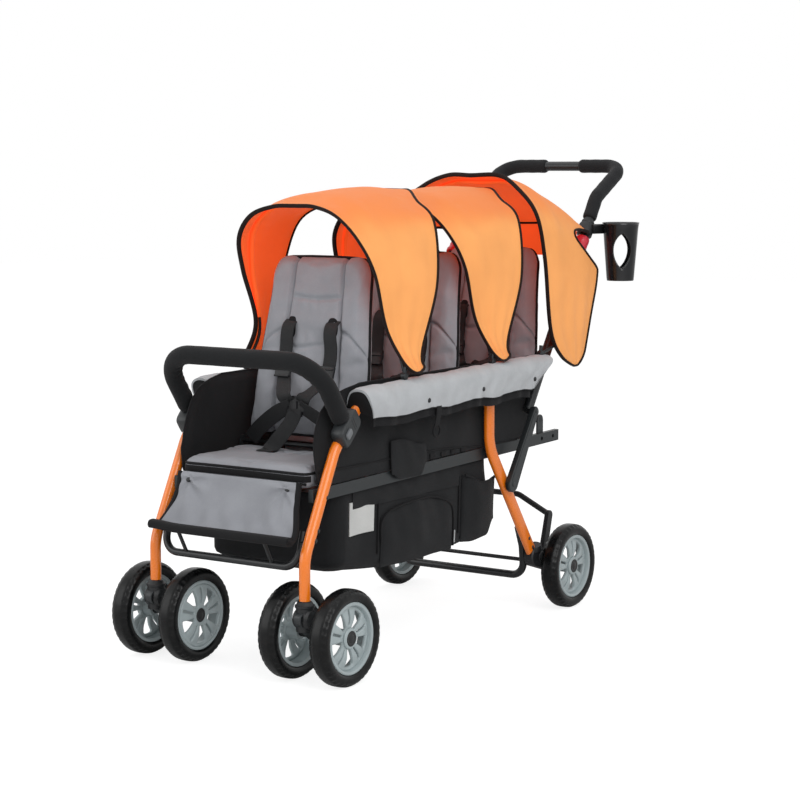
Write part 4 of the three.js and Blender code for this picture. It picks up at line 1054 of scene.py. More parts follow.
@dataclass
class Wheel:
    """One wheel: a tyre with notched shoulders, a five spoke rim and a cap."""

    tyre: str
    rim: str
    body: str
    x: float
    y: float
    outward: int
    radius: float = AXLE_Z
    rim_radius: float = 73.7
    barrel: float = 66.5
    hub: float = 23.0
    cap: float = 15.5
    spokes: int = 5
    notches: int = 40

    def centre(self) -> Vector:
        """The middle of the wheel."""
        return spot(self.x, self.y, self.radius)

    def make_tyre(self) -> bpy.types.Object:
        """Turns the tyre, with a notch at every third step of its shoulders."""
        half = [(74.2, 16.0), (76.5, 19.5), (80.5, 21.3), (86.0, 22.0), (90.8, 21.6), (94.4, 19.8),
                (96.6, 16.8), (98.4, 13.4), (98.7, 12.6), (99.3, 11.4), (99.9, 6.0), (100.0, 0.0)]
        profile = [(r, -x) for r, x in half] + [(r, x) for r, x in reversed(half[:-1])]
        notched = {5: 1.2, 6: 3.2, 7: 3.0, 8: 1.6}
        last = len(profile) - 1

        def dent(step: int, point: int) -> float:
            """How deep a notch is at a step round the tyre."""
            return notched.get(min(point, last - point), 0.0) if step % 3 == 0 else 0.0

        skin = Skin(f"{self.tyre}_rubber")
        skin.turned(profile, self.centre(), ACROSS, 3 * self.notches, ring=True, dent=dent)
        return skin.build(55)

    def spoke_cells(self, skin: Skin, face: float) -> None:
        """Draws the flat of the five double spokes, with windows and slots left open.

        Args:
            skin: The piece in the making.
            face: How far the flat lies outward of the middle, in millimetres.
        """
        rings = [self.cap - 1, self.hub - 4, self.hub, self.hub + 3, 34, 44, 54, self.barrel - 7,
                 self.barrel - 4, self.barrel + 2]
        sector = math.tau / self.spokes
        rows = []
        for radius in rings:
            share = smooth(self.hub, self.barrel, radius)
            edge = mix(0.33, 0.30, share) * sector
            slot = (1.9 + 0.6 * share) / radius
            steps = [slot, slot + 2.2 / radius, edge - 2.6 / radius, edge, sector / 2]
            angles = []
            for k in range(self.spokes):
                angles += [k * sector - s for s in reversed(steps[:-1])]
                angles += [k * sector + s for s in steps]
            rise = 3.2 * math.sin(math.pi * min(1.0, share * 1.1)) + 1.0 * (1 - share)
            x = self.outward * (face + rise) * MILLIMETRE
            rows.append([self.centre() + Vector((x, radius * MILLIMETRE * math.sin(a),
                                                 radius * MILLIMETRE * math.cos(a))) for a in angles])
        per = 2 * len(steps) - 1

        def is_open(ring: int, step: int) -> bool:
            """A sector has nine cells: its slot is the fourth, and its window the last two."""
            cell = step % per
            return (cell == 3 and 3 <= ring < 7) or (cell in (7, 8) and 2 <= ring < 7)

        skin.pierced(rows, is_open)

    def make_spokes(self) -> bpy.types.Object:
        """Makes the spoke disc with rounded edges."""
        skin = Skin(f"{self.rim}_spokes")
        self.spoke_cells(skin, 9.5)
        made = skin.build()
        worked(made, "SOLIDIFY", thickness=9.0 * MILLIMETRE, offset=-1.0, use_even_offset=False)
        return rounded(made)

    def make_barrel(self) -> bpy.types.Object:
        """Turns the ring that carries the tyre, and the hub behind the spokes."""
        skin = Skin(f"{self.rim}_barrel")
        out = self.outward
        ring = [(self.rim_radius, -17.0), (self.rim_radius, 15.5), (self.rim_radius + 0.6, 17.6),
                (self.rim_radius - 1.6, 18.8), (self.barrel + 1.2, 17.6), (self.barrel, 15.2),
                (self.barrel - 0.8, 4.0), (self.barrel, -16.0)]
        skin.turned([(r, out * x) for r, x in ring], self.centre(), ACROSS, 72, ring=True)
        hub = [(9.0, -19.8), (16.2, -19.8), (17.0, -18.6), (17.6, 8.0), (self.hub - 1.5, 11.5),
               (self.hub - 1.5, 13.6), (19.5, 15.8), (self.cap + 0.6, 16.4), (self.cap + 0.4, 9.0),
               (9.0, 9.0)]
        skin.turned([(r, out * x) for r, x in hub], self.centre(), ACROSS, 48, ring=True)
        return skin.build(35)

    def make_cap(self) -> bpy.types.Object:
        """Turns the dark cap over the axle."""
        skin = Skin(f"{self.rim}_cap")
        profile = [(self.cap, 8.0), (self.cap, 16.4), (self.cap - 1.4, 17.6), (9.0, 17.0), (7.5, 17.9),
                   (2.0, 18.3)]
        skin.turned([(r, self.outward * x) for r, x in profile], self.centre(), ACROSS, 32)
        return skin.build(35)

    def make(self) -> None:
        """Makes and dresses the wheel."""
        piece(self.make_tyre(), self.body, Look.TYRE, self.tyre)
        piece(self.make_barrel(), self.body, Look.RIM, self.rim)
        piece(self.make_spokes(), self.body, Look.RIM)
        piece(self.make_cap(), self.body, Look.PLASTIC)


@dataclass
class Caster:
    """A swivel unit with its two wheels."""

    side: Side
    pair_half: float = 65.0
    trail: float = 48.0
    top_z: float = 176.0
    yoke_half: float = 19.0
    web_half: float = 8.0
    neck_z: float = 140.0
    axle: float = 4.8

    def make_fork(self) -> bpy.types.Object:
        """Makes the moulded yoke, the swivel collar and the axle."""
        x = self.side.value * LEG_X
        skin = Skin(f"caster_fork_{self.side.word}_shell")
        for half, neck, hub, grow, bevel in ((self.yoke_half, 0, 0, 0, 4.0), (self.web_half, 8, 10, 3, 2.0)):
            outline = two_circles(spot(x - half, neck - self.trail, self.neck_z + neck), 21.0 + grow,
                                  spot(x - half, hub, AXLE_Z), 18.0 + grow)
            skin.plate(outline, ACROSS * 2 * half * MILLIMETRE, bevel)
        collar = [(18.0, -62.0), (18.6, -44.0), (18.4, -14.0), (20.5, -12.5), (20.5, -8.0),
                  (17.5, -6.5), (15.5, -2.0), (13.0, -0.2)]
        skin.turned(collar, spot(x, -self.trail, self.top_z), UPWARD, 36)
        reach, spacer = self.pair_half + 10, self.pair_half - 20.5
        skin.turned([(self.axle, -reach), (self.axle, reach)], spot(x, 0, AXLE_Z), ACROSS, 20)
        skin.turned([(11.0, -spacer), (11.0, -22.0), (14.0, -19.0), (14.0, 19.0), (11.0, 22.0),
                     (11.0, spacer)], spot(x, 0, AXLE_Z), ACROSS, 28)
        return skin.build()

    def make_lock(self) -> bpy.types.Object:
        """Makes the little lever that locks the swivel."""
        skin = Skin(f"swivel_lock_{self.side.word}")
        corners = [spot(self.side.value * LEG_X, -self.trail - ahead, z)
                   for ahead, z in ((17, 152), (24, 146), (23, 134), (15, 126))]
        skin.sweep(curve(corners, 5), oval(18, 5, 20, 4.0), ACROSS)
        return skin.build()

    def make(self) -> None:
        """Makes and dresses the unit."""
        word = self.side.word
        body = f"caster_{word}"
        piece(self.make_fork(), body, Look.PLASTIC, f"caster_fork_{word}")
        piece(self.make_lock(), body, Look.SOCKET)
        for out, place in ((1, "outer"), (-1, "inner")):
            Wheel(f"caster_tyre_{word}_{place}", f"caster_rim_{word}_{place}",
                  f"caster_wheel_{word}_{place}",
                  self.side.value * (LEG_X + out * self.pair_half), 0.0,
                  self.side.value * out).make()


@dataclass
class Legs:
    """The painted legs of one side, with their rivets and end caps."""

    side: Side
    front_radius: float = 11.5
    rear_width: float = 18.0
    rear_depth: float = 30.0
    boss: float = 8.0
    front_line: Section = ((-48, 176.3), (-48, 262), (55, 470), (160, 578))
    rear_line: Section = ((648, 552), (648, 412), (846, 130))

    def tube(self, name: str, line: Section, radius: float, section: Section, steps: int,
             pivot: tuple[float, float], reach: float) -> bpy.types.Object:
        """Bends one leg and sets the boss of its pivot.

        Args:
            name: The piece's name.
            line: The leg's middle line, by distance back and height.
            radius: The radius of its bends.
            section: The tube's section.
            steps: How many short runs make up a bend.
            pivot: How far back and how high the pivot is.
            reach: How far the boss stands out from the middle line.

        Returns:
            The piece.
        """
        skin = Skin(name)
        x = self.side.value * LEG_X
        skin.sweep(bent([spot(x, y, z) for y, z in line], radius, steps), section,
                   ACROSS if line is self.rear_line else None)
        skin.turned([(self.boss, 0.0), (self.boss, reach)], spot(x, *pivot), self.side.out, 20)
        return skin.build()

    def rivets(self, name: str, x: float, places: Section) -> bpy.types.Object:
        """Makes round heads on a tube's outer face.

        Args:
            name: The piece's name.
            x: How far out the face is.
            places: How far back and how high each head is.

        Returns:
            The piece.
        """
        skin = Skin(name)
        for y, z in places:
            skin.dome(spot(self.side.value * x, y, z), self.side.out, 4.6, 2.2)
        return skin.build()

    def make(self) -> None:
        """Makes and dresses both legs."""
        word = self.side.word
        front = self.tube(f"front_leg_{word}_tube", self.front_line, 90, circle(self.front_radius, 28), 9,
                          (148.5, 566.5), 12.0)
        piece(front, "front_legs", Look.ORANGE, f"front_leg_{word}")
        rear = self.tube(f"rear_leg_{word}_tube", self.rear_line, 110,
                         oval(self.rear_width, self.rear_depth, 32, 2.6), 12, (716, 320), 12.5)
        piece(rear, "rear_legs", Look.ORANGE, f"rear_leg_{word}")
        face = LEG_X + self.front_radius - 0.8
        piece(self.rivets(f"front_rivets_{word}", face, [(-24, 296), (-15, 315), (15, 379)]),
              "front_legs", Look.STEEL)
        face = LEG_X + self.rear_width / 2 - 0.5
        piece(self.rivets(f"rear_rivets_{word}", face, [(814, 178), (830, 155)]), "rear_legs", Look.STEEL)


@dataclass
class Handle:
    """The push handle with its foam grips, the red fold latches and the links to the legs."""

    arm_x: float = LEG_X
    top_x: float = 172.0
    low_y: float = 816.0
    low_z: float = 480.0
    elbow_y: float = 1180.0
    elbow_z: float = 972.0
    top_y: float = 1317.0
    top_z: float = 1049.0
    radius: float = 12.0
    grip: float = 17.0
    bare_half: float = 50.0
    bend: float = 48.0
    latch_z: float = 830.0
    collar_zs: tuple[float, float] = (806.0, 905.0)
    link_foot: tuple[float, float] = (716.0, 320.0)
    link_x: float = 211.0

    def arm(self, z: float, side: int = 1) -> Vector:
        """The middle of the slanted arm at a height."""
        share = (z - self.low_z) / (self.elbow_z - self.low_z)
        return spot(side * mix(self.arm_x, self.top_x, share), mix(self.low_y, self.elbow_y, share), z)

    def ring_on_arm(self, skin: Skin, z: float, side: int, profile: Section, count: int) -> None:
        """Turns a ring round the slanted arm.

        Args:
            skin: The piece in the making.
            z: The height of its lower end.
            side: 1 for the left arm and -1 for the right one.
            profile: Pairs of radius and distance up the arm.
            count: How many steps go round.
        """
        low = self.arm(z, side)
        skin.turned(profile, low, (self.arm(self.elbow_z, side) - low).normalized(), count, ring=True)

    def make_tube(self) -> bpy.types.Object:
        """Bends the handle tube and adds its pivots."""
        skin = Skin("handle_bar")
        half = [self.arm(self.low_z), self.arm(self.elbow_z), spot(self.top_x, self.top_y, self.top_z)]
        skin.sweep(bent(half + mirrored(half), self.bend), circle(self.radius, 28))
        for side in Side:
            skin.turned([(8.0, 0.0), (8.0, 12.5)], self.arm(self.low_z, side.value), side.out, 20)
        return skin.build()

    def make_grip(self, side: Side) -> bpy.types.Object:
        """Makes one foam grip round the bend, thicker where it ends."""
        s = side.value
        corners = [self.arm(920, s), self.arm(self.elbow_z, s), spot(s * self.top_x, self.top_y, self.top_z),
                   spot(s * self.bare_half, self.top_y, self.top_z)]
        skin = Skin(f"handle_grip_{side.word}_foam")

        def thick(share: float) -> float:
            """Rounds the ends and swells the foam a little in the bends."""
            end = min(share, 1 - share)
            return mix(0.86, 1.0, smooth(0, 0.015, end)) + 0.012 * math.sin(60 * share)

        skin.sweep(evenly(bent(corners, self.bend), 90), circle(self.grip, 28), scale=thick)
        return skin.build(60)

    def make_latch(self, side: Side) -> bpy.types.Object:
        """Makes the sliding sleeve with its ribbed finger collar."""
        profile = [(12.4, 0.0), (18.0, 0.0), (19.0, 1.5), (19.0, 8.5), (17.6, 10.5), (16.6, 13.0),
                   (16.2, 20.0), (17.0, 22.0), (16.2, 24.0), (16.2, 40.0), (17.0, 42.0), (17.0, 52.0),
                   (15.5, 55.0), (12.4, 55.0)]
        skin = Skin(f"fold_latch_{side.word}_sleeve")
        self.ring_on_arm(skin, self.latch_z, side.value, profile, 36)
        return skin.build()

    def make_collar(self, side: Side) -> bpy.types.Object:
        """Makes the black stop rings below and above the latch."""
        skin = Skin(f"latch_collar_{side.word}")
        profile = [(12.1, 0.0), (15.0, 0.4), (16.0, 2.0), (16.0, 9.0), (15.0, 10.6), (12.1, 11.0)]
        for z in self.collar_zs:
            self.ring_on_arm(skin, z, side.value, profile, 32)
        return skin.build()

    def make_link(self, side: Side) -> bpy.types.Object:
        """Makes the flat link from the rear leg up to the handle, with its two rivets."""
        x, face_x = side.value * self.link_x, side.value * (self.link_x + 11.2)
        skin = Skin(f"fold_link_{side.word}_plate")
        low, top = self.link_foot, (self.low_y, self.low_z)
        outline = two_circles(spot(x, *low), 18.5, spot(x, *top), 11.0, 20)
        skin.plate(outline, side.out * 12 * MILLIMETRE, 2.2)
        inner = two_circles(spot(face_x, 722.4, 330.2), 11.5, spot(face_x, 811.0, 472.0), 6.0, 20)
        skin.plate(inner, side.out * 1.4 * MILLIMETRE, 0.6)
        for (y, z), size in ((low, 6.0), (top, 5.0)):
            skin.dome(spot(face_x + side.value * 1.2, y, z), side.out, size, 1.4, 20)
        return skin.build()

    def make(self) -> None:
        """Makes and dresses the handle group."""
        piece(self.make_tube(), "handle", Look.STEEL, "handle_tube")
        for side in Side:
            piece(self.make_grip(side), "handle", Look.GRIP, f"handle_grip_{side.word}")
            piece(self.make_latch(side), f"latch_{side.word}", Look.RED, f"fold_latch_{side.word}")
            piece(self.make_collar(side), "handle", Look.PLASTIC)
            piece(self.make_link(side), "fold_links", Look.RAIL, f"fold_link_{side.word}")


@dataclass
class RearEnd:
    """The curb bar and the foot brake behind the rear legs."""

    curb_x: float = 174.0
    curb_radius: float = 9.0
    arm_x: float = 172.0
    top_y: float = 962.0
    top_z: float = 212.0
    foot_y: float = 846.0
    bend: float = 34.0

    def make_curb(self) -> bpy.types.Object:
        """Bends the low bar that a foot tips the stroller with."""
        half = [spot(self.curb_x, y, z) for y, z in ((817, 202), (836.6, 153), (845, 80))]
        skin = Skin("curb_tube")
        skin.sweep(bent(half + mirrored(half), self.bend), circle(self.curb_radius, 24))
        for side in Side:
            skin.turned([(4.5, 0.0), (4.5, 14.0)], spot(side.value * self.curb_x, 812, 193), side.out, 16)
        return skin.build()

    def make_brake(self) -> bpy.types.Object:
        """Makes the two brake arms and the bar that a foot presses."""
        skin = Skin("brake_lever")
        thick = 11.0
        for side in Side:
            x = side.value * (self.arm_x - thick / 2)
            outline = two_circles(spot(x, REAR_AXLE_Y, AXLE_Z), 12.0, spot(x, self.top_y, self.top_z), 10.0)
            skin.plate(outline, side.out * thick * MILLIMETRE, 1.4)
        half = [spot(self.arm_x, self.top_y, self.top_z), spot(self.arm_x / 2, self.top_y, self.top_z + 42)]
        skin.sweep(bent(half + mirrored(half), self.bend), circle(7, 24))
        return skin.build()

    def make_brackets(self) -> bpy.types.Object:
        """Makes the moulded brackets between the legs and the axle, and the axle."""
        skin = Skin("rear_axle_brackets")
        for side in Side:
            s = side.value
            outline = two_circles(spot(s * 185, self.foot_y, 130), 24.0,
                                  spot(s * 185, REAR_AXLE_Y, AXLE_Z), 20.0)
            skin.plate(outline, side.out * 26 * MILLIMETRE, 3.0)
            rib = two_circles(spot(s * 181, 862, 128), 13.0, spot(s * 181, 926, 101), 11.0)
            skin.plate(rib, side.out * 34 * MILLIMETRE, 1.6)
            skin.turned([(10.0, 0.0), (10.0, 27.0)], spot(s * LEG_X, REAR_AXLE_Y, AXLE_Z), side.out, 24)
            skin.turned([(19.0, -2.0), (20.0, 2.0), (20.0, 9.0), (17.0, 11.0)],
                        spot(s * LEG_X, self.foot_y, 154), Vector((0, 0.35, -1)).normalized(), 28)
        skin.turned([(4.8, -255.0), (4.8, 255.0)], spot(0, REAR_AXLE_Y, AXLE_Z), ACROSS, 20)
        return skin.build()

    def make(self) -> None:
        """Makes and dresses the group with its two wheels."""
        piece(self.make_curb(), "rear_legs", Look.STEEL, "curb_bar")
        piece(self.make_brackets(), "rear_legs", Look.PLASTIC, "rear_axle")
        piece(self.make_brake(), "brake", Look.PLASTIC, "brake_pedal")
        for side in Side:
            Wheel(f"rear_tyre_{side.word}", f"rear_rim_{side.word}", f"rear_wheel_{side.word}",
                  side.value * 246.0, REAR_AXLE_Y, side.value).make()


@dataclass
class FrontEnd:
    """The foot bar, the bumper bar, and the sockets that hold it on the legs."""

    bumper_half: float = 204.0
    bumper_y: float = -12.0
    bumper_z: float = 655.0
    bumper_radius: float = 20.0
    foot_x: float = 177.3
    leg_knee: tuple[float, float] = (55.0, 470.0)
    leg_top: tuple[float, float] = (160.0, 578.0)
    socket_z: float = 505.0
    socket_reach: float = 34.3

    def socket_frame(self) -> tuple[Vector, Vector, Vector]:
        """The socket's middle on the leg, the way to the bumper's bend, and the way down the leg."""
        (low_y, low_z), (top_y, top_z) = self.leg_knee, self.leg_top
        share = (self.socket_z - low_z) / (top_z - low_z)
        centre = spot(LEG_X, mix(low_y, top_y, share), self.socket_z)
        way = spot(self.bumper_half, self.bumper_y, self.bumper_z) - centre
        way.x = 0
        return centre, way.normalized(), Vector((0, low_y - top_y, low_z - top_z)).normalized()

    def bar_start(self, side: int) -> Vector:
        """Where the bumper bar leaves its socket on a side."""
        centre, way, _ = self.socket_frame()
        start = centre + way * self.socket_reach * MILLIMETRE
        start.x = side * self.bumper_half * MILLIMETRE
        return start

    def on_socket(self, skin: Skin, side: Side, place: tuple[float, float], sizes: tuple[float, float],
                  levels: Section, count: int, power: float) -> None:
        """Builds a rounded block outwards from the leg, in line with it.

        Args:
            skin: The piece in the making.
            side: The leg's side.
            place: The block's middle, towards the bumper and down the leg.
            sizes: Its length down the leg, and its depth.
            levels: How far out each ring lies, and how much it grows.
            count: How many points go round.
            power: How full its corners are.
        """
        centre, way, down = self.socket_frame()
        middle = centre + (way * place[0] + down * place[1]) * MILLIMETRE
        rows = []
        for x, grow in levels:
            row = [middle + (down * u + way * v) * MILLIMETRE
                   for u, v in oval(sizes[0] + grow, sizes[1] + grow, count, power)]
            rows.append([Vector((side.value * x * MILLIMETRE, p.y, p.z)) for p in row])
        skin.closed(rows)

    def make_foot_bar(self) -> bpy.types.Object:
        """Bends the low bar in front, with its struts and bolts."""
        skin = Skin("foot_bar")
        half = [spot(self.foot_x, -23.2, 312), spot(self.foot_x, -44, 240)]
        skin.sweep(bent(half + mirrored(half), 36), circle(8, 24))
        for side in Side:
            s = side.value
            skin.sweep([spot(s * 113.5, -44, 240), spot(s * 113.5, -73.4, 293.5)], circle(4, 14))
            for y, z in ((-25.0, 308.4), (-33.9, 290.4)):
                skin.turned([(4.0, 0.0), (4.0, 9.0)], spot(s * self.foot_x, y, z), side.out, 14)
        return skin.build()

    def bumper_path(self) -> list[Vector]:
        """The middle line of the bumper bar."""
        half = [self.bar_start(1), spot(self.bumper_half, self.bumper_y, self.bumper_z)]
        return evenly(bent(half + mirrored(half), 78, 14), 140)

    def make_bumper(self) -> bpy.types.Object:
        """Makes the cloth covered foam bar, creased inside its bends, with a sewn seam."""
        path = self.bumper_path()
        skin = Skin("bumper_foam")
        skin.sweep(path, circle(self.bumper_radius, 40))
        middle = spot(0, 120, 590)

        def crease(place: Vector) -> tuple[Vector, float]:
            """Creases the cover where the bar bends, and draws its long seam."""
            near = min(range(len(path)), key=lambda k: (path[k] - place).length)
            away = place - path[near]
            share = near / (len(path) - 1)
            side = min(share, 1 - share)
            bend = hill(side, 0.19, 0.075) + 0.55 * hill(side, 0.06, 0.05)
            inside = smooth(-0.3, 0.9, away.normalized().dot((middle - path[near]).normalized()))
            fold = math.sin(side * 190 + 1.2 * math.sin(9 * math.atan2(away.z, away.y)))
            size = 1.0 + 0.06 * bend * inside * fold - 0.012 + 0.012 * ripple(place, 0.05)
            end = mix(0.90, 1.0, smooth(0, 0.012, side))
            return path[near] + away * size * end, 0.0

        return shaped(skin.build(70), crease)

    def make_pins(self) -> bpy.types.Object:
        """Makes the two pins that lock into the sockets."""
        way = self.socket_frame()[1]
        skin = Skin("bumper_pins")
        for s in (1, -1):
            skin.turned([(8.6, -17.5), (8.6, 18.0)], self.bar_start(s), way, 24)
        return skin.build()

    def make_socket(self, side: Side) -> bpy.types.Object:
        """Makes the moulded socket on a leg, with two raised ribs over its button."""
        skin = Skin(f"bumper_socket_{side.word}_shell")
        self.on_socket(skin, side, (11.5, 0.0), (74.0, 44.0), (
            (192.3, -3.0), (195.0, 0.0), (214.0, 0.0), (219.5, -1.5), (221.8, -5.0)), 40, 5.0)
        centre, way, down = self.socket_frame()
        for along in (-16, -10):
            at = centre + (way * 11.5 + down * along) * MILLIMETRE
            rib = [Vector((side.value * 0.2216, at.y, at.z)) + way * w * MILLIMETRE for w in (-12, 12)]
            skin.sweep(rib, oval(2.4, 3.0, 10), ACROSS)
        return skin.build()

    def make_button(self, side: Side) -> bpy.types.Object:
        """Makes the release button with its rounded edge."""
        skin = Skin(f"bumper_button_{side.word}_key")
        self.on_socket(skin, side, (12.0, 15.0), (21.4, 14.4), (
            (217.0, 0.0), (224.2, 0.0), (225.6, -1.2), (226.0, -3.2)), 28, 4.0)
        return skin.build()

    def make(self) -> None:
        """Makes and dresses the group."""
        piece(self.make_foot_bar(), "front_legs", Look.STEEL, "footrest_bar")
        bumper = piece(self.make_bumper(), "bumper", Look.FOAM, "bumper_bar")
        piece(self.make_pins(), "bumper", Look.PLASTIC)
        for side in Side:
            piece(self.make_socket(side), "front_legs", Look.SOCKET, f"bumper_socket_{side.word}")
            piece(self.make_button(side), f"bumper_button_{side.word}", Look.BUTTON,
                  f"bumper_button_{side.word}")


@dataclass
class CupHolder:
    """The open sided cup with its clamp on the near handle arm."""

    x: float = 244.0
    y: float = 1176.0
    floor_z: float = 771.0
    height: float = 141.0
    top_radius: float = 44.0
    low_radius: float = 33.0
    wall: float = 3.0
    clamp_z: float = 896.0

    def make_cup(self) -> bpy.types.Object:
        """Turns the tapered cup with a lens shaped window in its front and back."""
        skin = Skin("cup_shell")
        middle, half_height, half_turn, first, count = 0.51, 0.30, 0.60, 2.53, 34
        window = [middle + half_height * math.sin(math.pi * k / 18 - math.pi / 2) for k in range(19)]
        levels = [0.0, 0.04, 0.10, 0.16, *window, 0.86, 0.91, 0.95, 1.0]
        rows = []
        for share in levels:
            radius = mix(self.low_radius, self.top_radius, share) - self.wall / 2
            radius += 1.6 * smooth(0.93, 1.0, share)
            open_turn = max(0.03, half_turn * max(0.0, 1 - ((share - middle) / half_height) ** 2) ** 0.8)
            row = []
            for face in (first, first + math.pi):
                for k in range(count + 1):
                    turn = face + open_turn + (math.pi - 2 * open_turn) * k / count
                    row.append(spot(self.x, self.y, self.floor_z + share * self.height)
                               + Vector((math.sin(turn), math.cos(turn), 0)) * radius * MILLIMETRE)
            rows.append(row)
        made = skin.pierced(rows, lambda ring, step: step in (count, 2 * count + 1) and 4 <= ring < 22)
        skin.face(*made[0])
        cup = skin.build()
        worked(cup, "SOLIDIFY", thickness=self.wall * MILLIMETRE, offset=0.0)
        return cup

    def make_clamp(self, handle: Handle) -> bpy.types.Object:
        """Makes the clamp ring round the handle arm and the bridge to the cup."""
        skin = Skin("cup_clamp")
        handle.ring_on_arm(skin, self.clamp_z - 15, 1, [
            (12.3, 0.0), (18.4, 0.6), (19.0, 2.0), (19.0, 27.0), (18.4, 29.4), (12.3, 30.0)], 36)
        arm = handle.arm(self.clamp_z)
        bridge = [arm + ACROSS * 0.014, spot(self.x - self.top_radius + 2, self.y, self.clamp_z)]
        skin.sweep(bridge, oval(24, 18, 24, 4.0), UPWARD)
        skin.dome(arm - REARWARD * 0.019, -REARWARD, 6, 4, 20)
        return skin.build()

    def make(self, handle: Handle) -> None:
        """Makes and dresses the cup holder."""
        piece(self.make_cup(), "handle", Look.GLOSSY, "cup_holder")
        piece(self.make_clamp(handle), "handle", Look.PLASTIC)


# Soft groups


class Reader:
    """Finds where a line meets the surface of a finished piece."""

    def __init__(self, made: bpy.types.Object) -> None:
        """Reads the piece as it is now."""
        self.tree = BVHTree.FromObject(made, bpy.context.evaluated_depsgraph_get())

    def meet(self, start: Vector, way: Vector, other: Vector) -> Vector:
        """Where a line first meets the piece, or another point where it misses."""
        hit = self.tree.ray_cast(start, way)[0]
        return hit if hit is not None else other


def edge_loop(made: bpy.types.Object, ring: Sequence[Vector], inward: float) -> list[Vector]:
    """Lays a closed line on the outer edge of a cushion.

    Args:
        made: The cushion.
        ring: A flat loop near the edge.
        inward: How far the line sinks in, in millimetres.

    Returns:
        The line's points.
    """
    reader = Reader(made)
    middle = sum(ring, Vector()) / len(ring)
    found = []
    for place in ring:
        way = (middle - place).normalized()
        found.append(reader.meet(place - way * 0.05, way, place) + way * inward * MILLIMETRE)
    count = len(found)
    for _ in range(2):
        found = [(found[k - 1] + 2 * found[k] + found[(k + 1) % count]) / 4 for k in range(count)]
    return found


Edge = Callable[[float], float]


def patch(name: str, side: Side, wall: Callable[[float, float], float], low: Edge, high: Edge,
          reach: tuple[float, float], puff: float, open_top: float = 0.0) -> bpy.types.Object:
    """Makes a pocket or flap as a puffed patch on a wall of cloth.

    Args:
        name: The piece's name.
        side: Which side it is on.
        wall: How far out the wall is, for each distance back and height.
        low: The height of its lower edge, for each distance back.
        high: The height of its upper edge.
        reach: How far back it starts and ends.
        puff: How far its middle stands out.
        open_top: How far its upper edge stands out.

    Returns:
        The piece.
    """
    skin = Skin(f"{name}_{side.word}")
    columns, levels = 48, 30
    faces, linings = [], []
    for i in range(columns + 1):
        y = mix(*reach, i / columns)
        wide = math.sin(math.pi * i / columns) ** 0.5
        face, lining = [], []
        for k in range(levels + 1):
            t = k / levels
            z = mix(low(y), high(y), t)
            out = 1.4 + puff * wide * math.sin(math.pi * t) ** 0.7 + open_top * wide * t * t
            out += (0.9 * math.sin(y / 9 + 3 * t) * t + 0.7 * math.sin(y / 17 + z / 11)) * wide * (puff > 0)
            x = wall(y, z) + out
            face.append(spot(side.value * (x + 1.0), y, z))
            lining.append(spot(side.value * (x - 1.0), y, z))
        faces.append(face)
        linings.append(lining)
    skin.lined(faces, linings)
    return skin.build(60)


def narrowing(skin: Skin, outline: Sequence[Vector], before: Sequence[int], sizes: Sequence[float]) -> None:
    """Closes the end of a soft form with rings that narrow towards its middle.

    Args:
        skin: The piece in the making.
        outline: The form's last ring.
        before: The numbers of that ring's points.
        sizes: The scale of each further ring.
    """
    middle = sum(outline, Vector()) / len(outline)
    for size in sizes:
        ring = skin.row([middle + (p - middle) * size for p in outline])
        skin.strip(before, ring, wrap=True)
        before = ring
    skin.face(*before)


def on_front(reader: Reader, x: float, rise: float, missed: float) -> Vector:
    """Where the front of an upright back lies.

    Args:
        reader: Reads the back.
        x: Distance from its middle line.
        rise: Height over its pivot.
        missed: How far back the point is where there is no back.

    Returns:
        The point, from the back's pivot.
    """
    flat = Vector((x, missed, rise)) * MILLIMETRE
    return reader.meet(flat - REARWARD * 0.08, REARWARD, flat)


